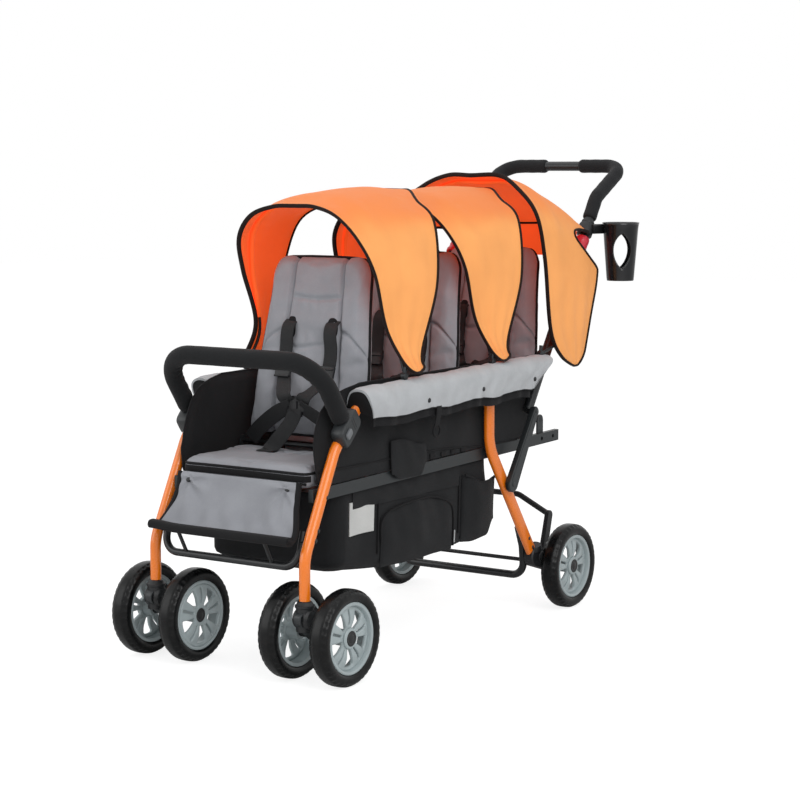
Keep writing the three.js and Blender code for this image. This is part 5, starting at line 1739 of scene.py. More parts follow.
@dataclass
class Seat:
    """One seat: its cushion, its reclining back with a wire frame, and the harness."""

    index: int
    cushion_half: float = 174.0
    cushion_front: float = -7.0
    cushion_depth: float = 231.0
    cushion_thick: float = 36.0
    pivot_y: float = 222.0
    pivot_z: float = 447.0
    lean: float = 10.5
    foot: float = 14.0
    length: float = 420.0
    bottom_half: float = 161.0
    top_half: float = 138.0
    corner: float = 50.0
    foot_corner: float = 22.0
    back_thick: float = 22.0
    head_from_top: float = 98.0
    panel_low_half: float = 84.0
    panel_top_half: float = 66.0
    panel_seam: float = 214.0
    bolster_arc: float = 248.0
    channels: tuple[float, float] = (30.0, 150.0)
    slot_half: float = 55.0
    slot_rise: float = 254.0
    slot_pitch: float = 88.0
    webbing: float = 34.0
    wire: float = 3.4
    wire_half: float = 108.0
    wire_top: float = 190.0
    wire_back: float = 14.1
    fold_keep: float = 0.8

    @property
    def number(self) -> int:
        """The seat's number as the frame's names count."""
        return self.index + 1

    @property
    def shift(self) -> float:
        """How far behind the first seat this one is, in millimetres."""
        return self.index * SEAT_PITCH

    def back_matrix(self) -> Matrix:
        """How the back lies in the frame, from its own upright place at the pivot."""
        place = Matrix.Translation(spot(0, self.pivot_y + self.shift, self.pivot_z))
        return place @ Matrix.Rotation(-math.radians(self.lean), 4, "X")

    def half_at(self, share: float) -> float:
        """Half the back's width at a share of its height, with its rounded corners."""
        half = mix(self.bottom_half, self.top_half, smooth(0.25, 1, share))
        for from_end, radius in (((1 - share) * self.length, self.corner),
                                 (share * self.length, self.foot_corner)):
            cut = max(0.0, 1 - from_end / radius)
            half -= radius * (1 - math.sqrt(1 - min(1.0, cut * cut))) * 0.85
        return half - 3.0 * math.sin(math.pi * share)

    def cushion_ring(self, z: float, count: int = 120) -> list[Vector]:
        """The cushion's outline at a height over the rail, with sides that pull in.

        Args:
            z: The height over the rail's top, in millimetres.
            count: How many points go round.

        Returns:
            The outline.
        """
        ring = []
        middle = self.cushion_front + self.cushion_depth / 2
        for u, v in oval(2, 2, count, 12.0):
            tuck_x, tuck_y = 6.0 * (1 - v * v), 5.0 * (1 - u * u)
            x = u * (self.cushion_half - tuck_x)
            y = middle + v * (self.cushion_depth / 2 - 2 - tuck_y)
            ring.append(spot(x, y, rail_top(y) + z))
        return ring

    def make_cushion(self) -> bpy.types.Object:
        """Puffs up the first cushion and sews its channels."""
        skin = Skin("cushion_cover_1")
        levels = [(0.7, 0.955), (2.5, 0.985), (9.0, 1.0), (26.0, 1.0), (32.0, 0.985),
                  (self.cushion_thick, 0.95)]
        rows = []
        for z, size in levels:
            ring = self.cushion_ring(z)
            middle = sum(ring, Vector()) / len(ring)
            rows.append([middle + (p - middle) * size for p in ring])
        made = skin.grid(rows, wrap=True)
        for end in (0, -1):
            narrowing(skin, rows[end], made[end], (0.8, 0.5, 0.2))
        cushion = puffed(skin.build(), 8.0)
        top = rail_top(self.cushion_front + self.cushion_depth / 2) * MILLIMETRE

        def sew(place: Vector) -> tuple[Vector, float]:
            """Sinks two cross channels in and lays soft wrinkles beside them."""
            up = smooth(top + 0.020, top + 0.036, place.z)
            x, y = place.x / 0.17, (place.y - FRONT_AXLE_Y) / MILLIMETRE
            front_channel, rear_channel = self.channels
            groove = hill(y, rear_channel, 5.5) + hill(y, front_channel, 4.0) * 0.6
            inner = smooth(1.0, 0.93, abs(x))
            pull = hill(y, rear_channel, 30) * 1.6 * math.sin(place.x * 150 + 2 * math.sin(place.x * 37))
            height = place.z - up * inner * (groove * 4.5 + pull + 1.2 * ripple(place, 0.09)) * MILLIMETRE
            low = rail_top(y) * MILLIMETRE + 0.0004
            return Vector((place.x, place.y, max(low, height))), min(1.0, groove ** 3) * up * inner

        return shaped(cushion, sew)

    def make_back(self) -> bpy.types.Object:
        """Puffs up the first back, upright at its pivot, and sews its panels."""
        skin = Skin("back_cover_1")
        shares = ((-1.5, 0.92), (-1.2, 0.97), (-0.6, 1.0), (0.4, 1.0), (0.8, 0.965), (1.0, 0.90))
        rows = [self.back_ring(self.back_thick / 2 * share, size) for share, size in shares]
        made = skin.grid(rows, wrap=True)
        for end in (0, -1):
            narrowing(skin, rows[end], made[end], (0.8, 0.55, 0.3, 0.1))
        back = puffed(skin.build(), 9.0)
        seam_rise = self.length - self.head_from_top

        def sew(place: Vector) -> tuple[Vector, float]:
            """Draws the head roll, the middle panel and the bolsters with grooves."""
            x, y, rise = place / MILLIMETRE
            share = rise / self.length
            front = smooth(2.0, -6.0, y)
            inner = smooth(0.97, 0.86, abs(x) / max(20.0, self.half_at(min(0.99, max(0.01, share)))))
            line = mix(self.panel_low_half, self.panel_top_half, smooth(0.1, 0.9, share))
            inside = smooth(line + 4, line - 6, abs(x))
            outside = 1 - inside
            across = 0.75 * hill(rise, seam_rise - 5 * hill(x, 0, 40), 5.5) * inside
            across += 0.5 * hill(rise, self.panel_seam + 4 * math.sin(x / 19), 5.0) * inside
            arc = hill(rise, self.bolster_arc - 0.012 * (abs(x) - line) ** 2, 4.5) * outside
            arc *= 0.8 if x > 0 else 0.5
            upright = hill(abs(x), line, 5.0)
            groove = max(across, upright, arc)
            fold = (hill(rise, 150 + 0.25 * abs(x), 12) * hill(abs(x), 124, 26)
                    + 0.8 * hill(rise, 86 + 0.2 * x, 12) * hill(abs(x), 120, 24)
                    + 0.7 * hill(rise, 205, 10) * hill(x, -118, 24))
            gather = math.sin(x / 5.5 + 2 * math.sin(x / 23)) * (hill(rise, seam_rise - 14, 13) * inside
                     + 0.7 * hill(rise, 236, 12) * inside)
            pucker = 0.8 * math.sin(rise / 6.5 + 1.5 * math.sin(rise / 31)) * hill(abs(x), line + 9, 8)
            soft = 2.2 * ripple(place + Vector((0, 0.3, 0)), 0.10) + 0.9 * ripple(place, 0.035)
            puff = 3.0 * hill(rise, seam_rise - 50, 30) * inside + 3.0 * hill(abs(x), 112, 17)
            y += front * inner * (groove * 9.0 + fold * 4.4 + 1.4 * gather + pucker + soft - puff)
            return Vector((x, y, rise)) * MILLIMETRE, min(1.0, groove ** 3) * front * 0.75

        return shaped(back, sew)

    def back_ring(self, depth: float, size: float) -> list[Vector]:
        """The back's outline, upright at its pivot.

        Args:
            depth: How far behind the back's middle plane the outline is.
            size: The outline's scale.

        Returns:
            The outline.
        """
        steps = [0.0, 0.008, 0.02, 0.035] + [0.05 + 0.84 * k / 30 for k in range(31)]
        steps += [0.91, 0.93, 0.95, 0.965, 0.98, 0.99, 0.997, 1.0]
        right = [(self.half_at(s), self.foot + s * (self.length - self.foot)) for s in steps]
        ring = right + [(-x, z) for x, z in reversed(right)]
        middle = self.foot + self.length / 2
        return [Vector((x * size, depth, (middle + (z - middle) * size))) * MILLIMETRE for x, z in ring]

    def dress_cushion(self, first: bpy.types.Object) -> None:
        """Places this seat's cushion and the piping round it."""
        rise = Matrix.Translation(Vector((0, self.shift, RAIL_SLOPE * self.shift)) * MILLIMETRE)
        cushion = first if self.index == 0 else copied(first, f"cushion_cover_{self.number}", rise)
        piece(cushion, "chassis", Look.GREY, f"seat_cushion_{self.number}")
        ring = [rise @ p for p in edge_loop(first, self.cushion_ring(29.0), 0.5)]
        skin = Skin(f"cushion_piping_{self.number}")
        skin.sweep(ring, circle(3.0, 10), loop=True)
        if self.index == 0:
            reader = Reader(first)
            for rise_z, wide in ((9.0, 4.5), (19.0, 13.0)):
                z = rail_top(0) + rise_z
                path = [reader.meet(spot(x, -80, z), REARWARD, spot(x, 0, z)) for x in range(-165, 166, 6)]
                skin.strap([p - REARWARD * 0.0006 for p in path], wide, 4.0, UPWARD)
        piece(skin.build(), "chassis", Look.PIPING)

    def dress_back(self, first: bpy.types.Object, loop: Sequence[Vector]) -> None:
        """Places this seat's back, its piping and its strap slots.

        Args:
            first: The upright back that each seat copies.
            loop: The line of its piping.
        """
        place, body = self.back_matrix(), f"back_{self.number}"
        back = copied(first, f"back_cover_{self.number}" if self.index else "back_cover", place)
        piece(back, body, Look.GREY, f"seat_back_{self.number}")
        skin = Skin(f"back_piping_{self.number}")
        skin.sweep([place @ p for p in loop], circle(4.2, 12), loop=True)
        piping = piece(skin.build(), body, Look.PIPING)
        slots = Skin(f"strap_slots_{self.number}")
        reader = Reader(first)
        for s in (1, -1):
            for rise, high in ((self.slot_rise, 46), (self.slot_rise - self.slot_pitch, 30)):
                rows = []
                for depth, grow in ((1.5, 1.0), (-0.6, 1.0), (-1.4, 0.86)):
                    rows.append([place @ (on_front(reader, s * self.slot_half + u, rise + v, 0)
                                          + REARWARD * depth * MILLIMETRE)
                                 for u, v in oval(25 * grow, high * grow, 24, 3.0)])
                slots.closed(rows)
        for made in (back, piping, piece(slots.build(), body, Look.PIPING)):
            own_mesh(made)

    def make_wires(self) -> None:
        """Bends the wire frame behind the back, with the bail that sets the recline."""
        place = self.back_matrix()
        skin = Skin(f"recline_wires_{self.number}")
        skin.turned([(5.0, -176.3), (5.0, 176.3)], place @ Vector(), ACROSS, 16)
        half, top, back = self.wire_half, self.wire_top, self.wire_back
        frame_half = [(-half, 0, -1.5), (-half, back, 1.5), (-half, back, top)]
        bail_half = [(-62, back, top), (-62, 85, 24)]
        for points, radius in ((frame_half, 7), (bail_half, 14)):
            line = [Vector(p) * MILLIMETRE for p in points]
            skin.sweep([place @ p for p in bent(line + mirrored(line), radius)], circle(self.wire, 12))
        piece(skin.build(), f"back_{self.number}", Look.WIRE, f"recline_frame_{self.number}")

    def make_harness(self, first: bpy.types.Object) -> None:
        """Runs the shoulder, lap and crotch straps to the buckle.

        Args:
            first: The upright back that the straps lie on.
        """
        place, reader = self.back_matrix(), Reader(first)
        buckle = spot(6, 176 + self.shift, rail_top(self.pivot_y + self.shift) + 138)

        def on_back(x: float, rise: float, off: float) -> Vector:
            """A point over the front of the back."""
            return place @ (on_front(reader, x, rise, -14) - REARWARD * off * MILLIMETRE)

        def by_buckle(x: float, y: float, z: float) -> Vector:
            """A point given from the buckle's middle."""
            return buckle + Vector((x, y, z)) * MILLIMETRE

        skin = Skin(f"harness_straps_{self.number}")
        hard = Skin(f"harness_buckle_{self.number}")
        for s in (1, -1):
            shoulder = [on_back(s * 57, 270, -5.0), on_back(s * 57, 258, 6.0), on_back(s * 58, 238, 11.0),
                        on_back(s * 60, 205, 6.0), on_back(s * 60, 170, 6.0), on_back(s * 52, 138, 13.0),
                        by_buckle(s * 30, -2, 24), by_buckle(s * 15, 0, 8)]
            skin.strap(curve(shoulder, 6), self.webbing, 3.0, ACROSS)
            lap = [by_buckle(s * 11, 0, 0), by_buckle(s * 40, -2, -12), by_buckle(s * 78, 4, -34),
                   by_buckle(s * 112, 12, -58), by_buckle(s * 138, 20, -82)]
            skin.strap(curve(lap, 6), self.webbing, 3.0, Vector((0, -0.35, 1)))
            adjust = on_back(s * 59, 158, 11.0)
            way = (on_back(s * 60, 190, 8.0) - adjust).normalized()
            hard.sweep([adjust - way * 0.013, adjust + way * 0.013], oval(41, 8, 20, 5.0), ACROSS)
            for rise in (0, 1):
                hard.sweep([adjust + way * (rise * 0.02 - 0.012) + Vector((x * 0.001, -0.004, 0))
                            for x in (-19, 19)], oval(5, 5, 10), REARWARD)
            tip = by_buckle(s * 27, 3, 0)
            hard.sweep([by_buckle(s * 17, 0, 0), tip], oval(24, 9, 20, 4.0), UPWARD)
        crotch = [by_buckle(0, 0, -8), by_buckle(-6, -10, -34), by_buckle(-22, -22, -62),
                  by_buckle(-38, -30, -83), by_buckle(-46, -40, -93)]
        skin.strap(curve(crotch, 6), self.webbing, 3.0, Vector((1, 0.3, 0)))
        body = [by_buckle(0, 3, z) for z in (-22, -19, -10, 4, 14, 20, 22)]
        wide = (0.72, 0.86, 1.0, 1.0, 1.0, 0.9, 0.7)
        hard.sweep(evenly(body, 13), oval(40, 14, 28, 3.6), ACROSS,
                   scale=lambda share: wide[min(6, int(share * 6.99))])
        hard.sweep([by_buckle(0, -5.5, -4), by_buckle(0, -5.5, 12)], oval(15, 5, 20, 4.0), ACROSS)
        tab = spot(-42, 140 + self.shift, rail_top(138 + self.shift) + 45)
        tongue = [tab + step for step in (
            Vector((0, -0.016, 0.0012)), Vector((0, 0.002, 0.002)), Vector((0, 0.012, 0.006)))]
        skin.strap(curve(tongue, 4), 40, 2.6, ACROSS)
        straps = piece(skin.build(), None, Look.STRAP, f"harness_{self.number}")
        plastic = piece(hard.build(), None, Look.PLASTIC)
        for made in (straps, plastic):
            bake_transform(made)


@dataclass
class SidePad:
    """The grey padded sleeve over one arm rail, with the black cloth that hangs from it."""

    side: Side
    front_y: float = 112.0
    rear_y: float = 866.0
    tube_z: float = 566.5
    climb: float = 17.5
    steps: int = 150
    hem: float = 2.4
    wall_half: float = 1.2
    wall_low: float = 400.0
    wall_top: float = 597.0
    fold_keep: float = 0.22
    over: Section = ((236.5, 528), (238.5, 546), (238.5, 562), (234, 578), (222, 587), (205, 588),
                     (192, 583), (185, 570), (182.5, 556))
    wall_edge: Section = ((400, 24), (452, 16), (487, 19), (520, 28), (550, 44), (574, 70), (588, 106),
                          (596, 150), (606, 175))

    def section(self) -> list[Vector]:
        """The sleeve's middle line seen from the front, from the outer hem to the inner one."""
        return evenly(curve([Vector((x, 0, z)) for x, z in self.over], 8), 30)

    def rows(self, out: float) -> list[list[Vector]]:
        """The sleeve's outer or inner face.

        Args:
            out: 1 for the outer face and -1 for the inner one.

        Returns:
            Rows of points, from front to rear.
        """
        line, rows = self.section(), []
        normals = [along.cross(REARWARD).normalized() for along, _, _ in frames(line, REARWARD)]
        for i in range(self.steps + 1):
            share = i / self.steps
            row = []
            for k, (at, normal) in enumerate(zip(line, normals)):
                over = k / (len(line) - 1)
                full = max(0.0, math.sin(math.pi * over)) ** 0.6
                slant = smooth(0.45, 0.0, over)
                y = mix(self.front_y + 8 + 18 * slant, self.rear_y + 5 - 92 * slant, share)
                ends = smooth(0, 0.02, share) * smooth(1, 0.98, share)
                puff = mix(1.6, 5.6, full) * mix(0.45, 1.0, ends)
                wave = (1.6 * math.sin(share * 31 + 2 * math.sin(share * 9) + over * 2.0)
                        + 1.1 * math.sin(share * 57 + 1.4 * math.sin(share * 17 + 2) + over * 3.2)
                        + 0.8 * math.sin(share * 96 + 4 * over)) * (1 - 0.5 * full)
                hem = 2.6 * math.sin(share * 22 + 0.8) * smooth(0.3, 0.0, over)
                point = at + normal * (out * puff + wave * ends)
                z = point.z + hem
                z += self.climb * share * smooth(500, 560, z) + 5 * share * smooth(560, 500, z)
                row.append(spot(self.side.value * point.x, y, z))
            rows.append(row)
        return rows

    def make_sleeve(self) -> bpy.types.Object:
        """Makes the sleeve as one closed padded form."""
        skin = Skin(f"side_sleeve_{self.side.word}")
        skin.lined(self.rows(1), self.rows(-1))
        return skin.build(60)

    def make_hem(self) -> bpy.types.Object:
        """Sews the piping along the sleeve's outer hem and round both its ends."""
        outer = self.rows(1)
        path = [row[0] + Vector((self.side.value * 0.0006, 0, -0.001)) for row in outer]
        ends = [[p + REARWARD * step for p in outer[row]] for row, step in ((1, -0.001), (-2, 0.001))]
        skin = Skin(f"sleeve_hem_{self.side.word}")
        for line in (evenly(path, 150), *ends):
            skin.sweep(line, circle(self.hem, 10))
        return skin.build()

    def make_band(self) -> bpy.types.Object:
        """Makes the dark band under the hem, the cap over the front end and the ring strap."""
        outer = self.rows(1)
        s = self.side.value
        skin = Skin(f"sleeve_band_{self.side.word}")
        path = [row[0] + Vector((-s * 0.004, 0, -0.010)) for row in outer[2:-2]]
        skin.strap(evenly(path, 120), 20, 3.0, UPWARD)
        skin.plate([p - REARWARD * 0.0015 for p in outer[0]], REARWARD * 0.012, 1.0)
        at = outer[round((376 - 138) / (779 - 138) * self.steps)][0]
        hang = [at + Vector((s * 0.003, 0, 0.002)), at + Vector((0, 0.001, -0.020)),
                at + Vector((-s * 0.006, 0.003, -0.042))]
        skin.strap(curve(hang, 6), 18, 2.6, REARWARD)
        ring = hang[-1] + Vector((0, 0, -0.011))
        loop = [ring + Vector((0, 0.013 * math.sin(t), 0.013 * math.cos(t)))
                for t in (math.tau * k / 24 for k in range(24))]
        skin.sweep(loop, circle(2.0, 8), ACROSS, loop=True)
        return skin.build()

    def make_snaps(self) -> bpy.types.Object:
        """Sets three press studs into the hem."""
        outer = self.rows(-1)
        skin = Skin(f"sleeve_snaps_{self.side.word}")
        for y in (331, 542, 757):
            at = outer[round((y - 136) / (785 - 136) * self.steps)][4]
            skin.dome(at + self.side.out * 0.0005, self.side.out, 5.2, 2.4)
        return skin.build()

    def wall_front(self, z: float) -> float:
        """How far back the black cloth starts at a height, with a round corner at its top."""
        for (low, a), (high, b) in zip(self.wall_edge, self.wall_edge[1:]):
            if z <= high:
                return mix(a, b, (z - low) / (high - low))
        return self.wall_edge[-1][1]

    def wall_out(self, y: float, z: float) -> float:
        """How far out the black cloth hangs: inside the sleeve, and drawn in at its front edge."""
        x = 181.0 - 2.5 * smooth(470, 540, z) + 6.5 * smooth(582, 600, z)
        return x - 8 * smooth(110, 15, y) * smooth(440, 480, z) - 3 * smooth(60, 15, y) * smooth(480, 440, z)

    def make_wall(self) -> bpy.types.Object:
        """Hangs the black side cloth between the sleeve and the seat rail."""
        skin = Skin(f"side_cloth_{self.side.word}")
        outer, inner = [], []
        columns, levels = 120, 24
        for k in range(levels + 1):
            down = k / levels
            front = self.wall_front(mix(self.wall_top, self.wall_low, down))
            face, lining = [], []
            for i in range(columns + 1):
                share = i / columns
                y = mix(front, self.rear_y + 2, share)
                z = mix(self.wall_top + 8 * share, rail_top(y) + 2.0, down)
                hung = math.sin(math.pi * down) * smooth(0, 0.06, share)
                wave = (2.0 * math.sin(share * 26 + 2.2 * math.sin(share * 7))
                        + 1.3 * math.sin(share * 49 + down * 2.5)) * hung
                x = self.wall_out(y, z) + wave
                face.append(spot(self.side.value * (x + self.wall_half), y, z))
                lining.append(spot(self.side.value * (x - self.wall_half), y, z))
            outer.append(face)
            inner.append(lining)
        skin.lined(outer, inner)
        return skin.build(60)

    def make_wall_trim(self) -> bpy.types.Object:
        """Binds the front edge of the black cloth, and hems it over the seat rail."""
        skin = Skin(f"side_cloth_trim_{self.side.word}")
        s = self.side.value
        edge = [(self.wall_front(z), z) for z in range(404, 597, 6)]
        edge += [(y, self.wall_top + y / 110) for y in range(160, 860, 20)]
        skin.sweep([spot(s * self.wall_out(y, z), y, z) for y, z in edge], circle(2.3, 10))
        hem = [(y, 427 - 14 * smooth(420, 700, y)) for y in range(24, 800, 12)]
        skin.sweep([spot(s * (self.wall_out(y, z) + 2.0), y, z) for y, z in hem], circle(2.0, 8))
        for y in (436, 480, 520, 560):
            low = rail_top(y) + 4
            skin.strap([spot(s * 184.5, y, low), spot(s * 184.5, y, 420)], 20, 2.0, REARWARD)
        return skin.build()

    def make(self) -> None:
        """Makes and dresses the side."""
        word = self.side.word
        sleeve = piece(self.make_sleeve(), "arm_rails", Look.PAD, f"side_panel_{word}")
        piece(self.make_hem(), "arm_rails", Look.PIPING)
        piece(self.make_band(), "arm_rails", Look.PIPING)
        piece(self.make_snaps(), "arm_rails", Look.PLASTIC)
        wall = piece(self.make_wall(), "chassis", Look.BLACK)
        trim = piece(self.make_wall_trim(), "chassis", Look.PIPING)
        flap = patch("rail_flap", self.side, lambda y, z: 187.0 + 2.5 * smooth(440, 380, z),
                     lambda y: 380 + 14 * smooth(300, 272, y) + 26 * smooth(378, 404, y),
                     lambda y: 466 - 20 * smooth(300, 404, y), (270, 404), 4.0)
        piece(flap, "chassis", Look.BLACK)
        low = tuple(spot(0, 400, rail_top(400)))
        for made in (wall, flap, trim):
            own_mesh(made)
        rail = Skin(f"arm_rail_{word}_tube")
        x = self.side.value * 221
        rail.sweep([spot(x, 137, self.tube_z), spot(x, 862, self.tube_z + self.climb)], circle(9, 24))
        piece(rail.build(), "arm_rails", Look.STEEL, f"arm_rail_{word}")


class Rim:
    """One edge of a sunshade, from its tip up to the middle of the top."""

    def __init__(self, shares: Sequence[tuple[float, float, float]], tip_y: float, tip_z: float,
                 rise: float, reach: float, half: float) -> None:
        """Places the edge's guide points.

        Args:
            shares: For each point, its share of the rise, of the reach and of the half width.
            tip_y: How far back the tip is.
            tip_z: How high the tip is.
            rise: How far the edge climbs.
            reach: How far it goes back, or forward where negative.
            half: Half the sunshade's width.
        """
        inner = [Vector((out * half, tip_y + along * reach, tip_z + up * rise)) for up, along, out in shares]
        self.points = [2 * inner[0] - inner[1], *inner, 2 * inner[-1] - inner[-2]]

    def at(self, share: float) -> Vector:
        """The edge's point at a share from its tip, in millimetres."""
        runs = len(self.points) - 3
        k = min(runs - 1, int(share * runs))
        return passing(*self.points[k:k + 4], share * runs - k)


@dataclass
class Sunshade:
    """One sunshade: bright cloth over a wire bow, with dark piping and a clip each side."""

    index: int
    tip: float = 318.0
    pitch: float = 350.0
    bow_share: float = 0.24
    cloth: float = 2.4
    sag: float = 4.0
    half: float = 228.0
    clip_half: float = 216.0
    wire: float = 3.5
    curtain: tuple[float, float] = (0.335, 0.64)
    drop: float = 78.0

    def __post_init__(self) -> None:
        """Finds the two edges."""
        front = [(0, 0.11, 1.0), (0.259, 0.205, 0.78), (0.593, 0.502, 0.781), (0.796, 0.742, 0.702),
                 (0.937, 0.842, 0.506), (0.994, 0.822, 0.246), (1, 0.804, 0)]
        rear = [(0, 0.04, 1.0), (0.109, 0.071, 0.928), (0.479, 0.296, 0.937), (0.819, 0.426, 0.81),
                (0.937, 0.589, 0.494), (0.996, 0.85, 0.213), (1, 0.98, 0)]
        last_front = [(0, 0.11, 1.0), (0.179, 0.616, 0.985), (0.572, 0.755, 0.951),
                      (0.805, 0.848, 0.877), (0.941, 0.719, 0.583), (1.0, 0.587, 0.317), (1.0, 0.657, 0)]
        last_rear = [(0, 0.04, 1.0), (0.33, 0.5, 0.985), (0.6, 0.94, 0.96), (0.77, 1.0, 0.935),
                     (0.96, 0.82, 0.82), (1.0, 0.76, 0.45), (1.0, 0.74, 0)]
        tip = self.tip + self.index * self.pitch
        self.is_last = self.index == SEAT_COUNT - 1
        if self.is_last:
            self.front = Rim(last_front, 971, 574, 454, -146, self.half)
            self.rear = Rim(last_rear, 1017, 574, 338, 91, self.half)
        else:
            self.front = Rim(front, tip - 17, 611, 354, -146, self.half)
            self.rear = Rim(rear, tip + 17, 611, 384, 244, self.half)
        self.clip_y = 846.0 if self.is_last else tip - 34
        self.body = f"sunshade_{self.index + 1}"

    def plain(self, over: float, back: float) -> Vector:
        """The cloth's outer face, in millimetres from the front axles.

        Args:
            over: From 0 at the right tip over the top to 1 at the left tip.
            back: From 0 at the front edge to 1 at the rear edge.

        Returns:
            The point.
        """
        side = -1 if over < 0.5 else 1
        up = 1 - abs(2 * over - 1)
        round_tip = max(0.2, math.sqrt(1 - max(0.0, 1 - up / 0.055) ** 2))
        at = self.front.at(up).lerp(self.rear.at(up), 0.5 + (back - 0.5) * round_tip)
        swell = 24 * 4 * back * (1 - back) * math.sin(math.pi * min(1.0, up * 1.2) / 2)
        return Vector((side * (at.x + swell * (1 - up)), at.y, at.z + swell * up))

    def point(self, over: float, back: float, inset: float = 0.0) -> Vector:
        """The cloth with its sag and creases, carried inwards by an inset.

        Args:
            over: From 0 at the right tip to 1 at the left tip.
            back: From 0 at the front edge to 1 at the rear edge.
            inset: How far inwards, in millimetres.

        Returns:
            The point in the frame.
        """
        step = 0.012
        up = 1 - abs(2 * over - 1)
        if self.is_last:
            notch = 0.40 * smooth(0.385, 0.50, up) * smooth(0.67, 0.50, up) - 0.09 * hill(up, 0.675, 0.035)
            back *= 1 - notch * smooth(0.45, 1.0, back)
        here = self.plain(over, back)
        across = self.plain(min(1, over + step), back) - self.plain(max(0, over - step), back)
        along = self.plain(over, min(1, back + step)) - self.plain(over, max(0, back - step))
        inwards = along.cross(across).normalized()
        middle = smooth(0, 0.16, back) * smooth(1, 0.84, back)
        sag = self.sag * middle * (1 - hill(back, self.bow_share, 0.10)) * smooth(0.1, 0.5, up)
        fan = math.sin(back * 21 + 1.5 * math.sin(7 * over + self.index)) * hill(up, 0.16, 0.14) * middle
        drape = math.sin(over * 43 + 4 * back + self.index * 2) * 0.5 * middle * smooth(0.25, 0.6, up)
        moved = here + inwards * (inset + sag + 1.6 * fan + 0.9 * drape)
        return spot(moved.x, moved.y, moved.z)

    def stations(self) -> list[float]:
        """Places from tip to tip over the top, closer together at the rounded tips."""
        near = [0.0, 0.001, 0.003, 0.006, 0.010, 0.015, 0.021, 0.028]
        middle = [mix(0.036, 0.964, k / 104) for k in range(105)]
        return near + middle + [1 - over for over in reversed(near)]

    def make_cloth(self) -> bpy.types.Object:
        """Makes the cloth as one closed thin sheet, bright outside and deeper inside."""
        skin = Skin(f"sunshade_cloth_{self.index + 1}")
        across = [j / 36 for j in range(37)]
        outer = [[self.point(over, back) for back in across] for over in self.stations()]
        inner = [[self.point(over, back, self.cloth) for back in across] for over in self.stations()]
        top, low = skin.grid(outer), skin.grid(inner, slot=1)
        skin.strip([r[0] for r in top], [r[0] for r in low])
        skin.strip([r[-1] for r in top], [r[-1] for r in low])
        skin.strip(top[0], low[0])
        skin.strip(top[-1], low[-1])
        return skin.build(70)

    def make_piping(self) -> bpy.types.Object:
        """Binds every edge of the cloth with dark tape."""
        skin = Skin(f"sunshade_piping_{self.index + 1}")
        front = [self.point(over, 0, 1.2) for over in self.stations()]
        rear = [self.point(over, 1, 1.2) for over in reversed(self.stations())]
        skin.sweep(evenly(front + rear + front[:1], 420)[:-1], oval(10.5, 5.6, 12), loop=True)
        return skin.build()

    def make_curtain(self) -> bpy.types.Object:
        """Hangs the last sunshade's rear curtain from its rear edge."""
        skin = Skin("sunshade_curtain")
        faces, linings = [], []
        for i in range(61):
            over = mix(*self.curtain, i / 60)
            top = self.point(over, 1, 4.0)
            face, lining = [], []
            for k in range(13):
                down = k / 12
                wave = 1.6 * math.sin(over * 70 + 2 * down) * down
                at = top + Vector((0, wave - 4 * down, -self.drop * down)) * MILLIMETRE
                face.append(at)
                lining.append(at + REARWARD * 0.002)
            faces.append(face)
            linings.append(lining)
        skin.lined(faces, linings)
        return skin.build(60)

    def make_sleeve(self) -> bpy.types.Object:
        """Sews the channel that the bow runs in under the cloth."""
        skin = Skin(f"bow_sleeve_{self.index + 1}")
        arch = [self.point(mix(0.10, 0.90, k / 60), self.bow_share, self.cloth + 5.6) for k in range(61)]
        skin.sweep(arch, oval(13.0, 11.5, 16), REARWARD)
        return skin.build()

    def make_bow(self) -> bpy.types.Object:
        """Bends the wire bow under the cloth down to its clips."""
        clip_z = 601.2 + RAIL_SLOPE / 2 * self.clip_y
        inset = self.cloth + 6.5
        arch = [self.point(mix(0.07, 0.93, k / 18), self.bow_share, inset) for k in range(19)]
        path = [spot(-self.clip_half, self.clip_y, clip_z), *arch, spot(self.clip_half, self.clip_y, clip_z)]
        skin = Skin(f"sunshade_bow_{self.index + 1}")
        skin.sweep(curve(path, 5), circle(self.wire, 12))
        for side in Side:
            at = spot(side.value * (self.clip_half - 8), self.clip_y, clip_z)
            skin.turned([(6.5, 0.0), (8.0, 1.0), (8.0, 10.5), (6.5, 11.5)], at, side.out, 24)
            at += side.out * 0.006
            skin.sweep([at - UPWARD * 0.002, at + Vector((0, 0.003, 0.02))], oval(7, 9, 16, 3.0), ACROSS)
        return skin.build()

    def make(self) -> None:
        """Makes and dresses the sunshade."""
        cloth = piece(self.make_cloth(), self.body, (Look.SUN, Look.SUN_INSIDE), f"canopy_{self.index + 1}")
        piece(self.make_piping(), self.body, Look.SUN_PIPING)
        piece(self.make_bow(), self.body, Look.WIRE, f"canopy_bow_{self.index + 1}")
        piece(self.make_sleeve(), self.body, Look.SUN_INSIDE)
        if self.is_last:
            curtain = piece(self.make_curtain(), self.body, Look.SUN_INSIDE)


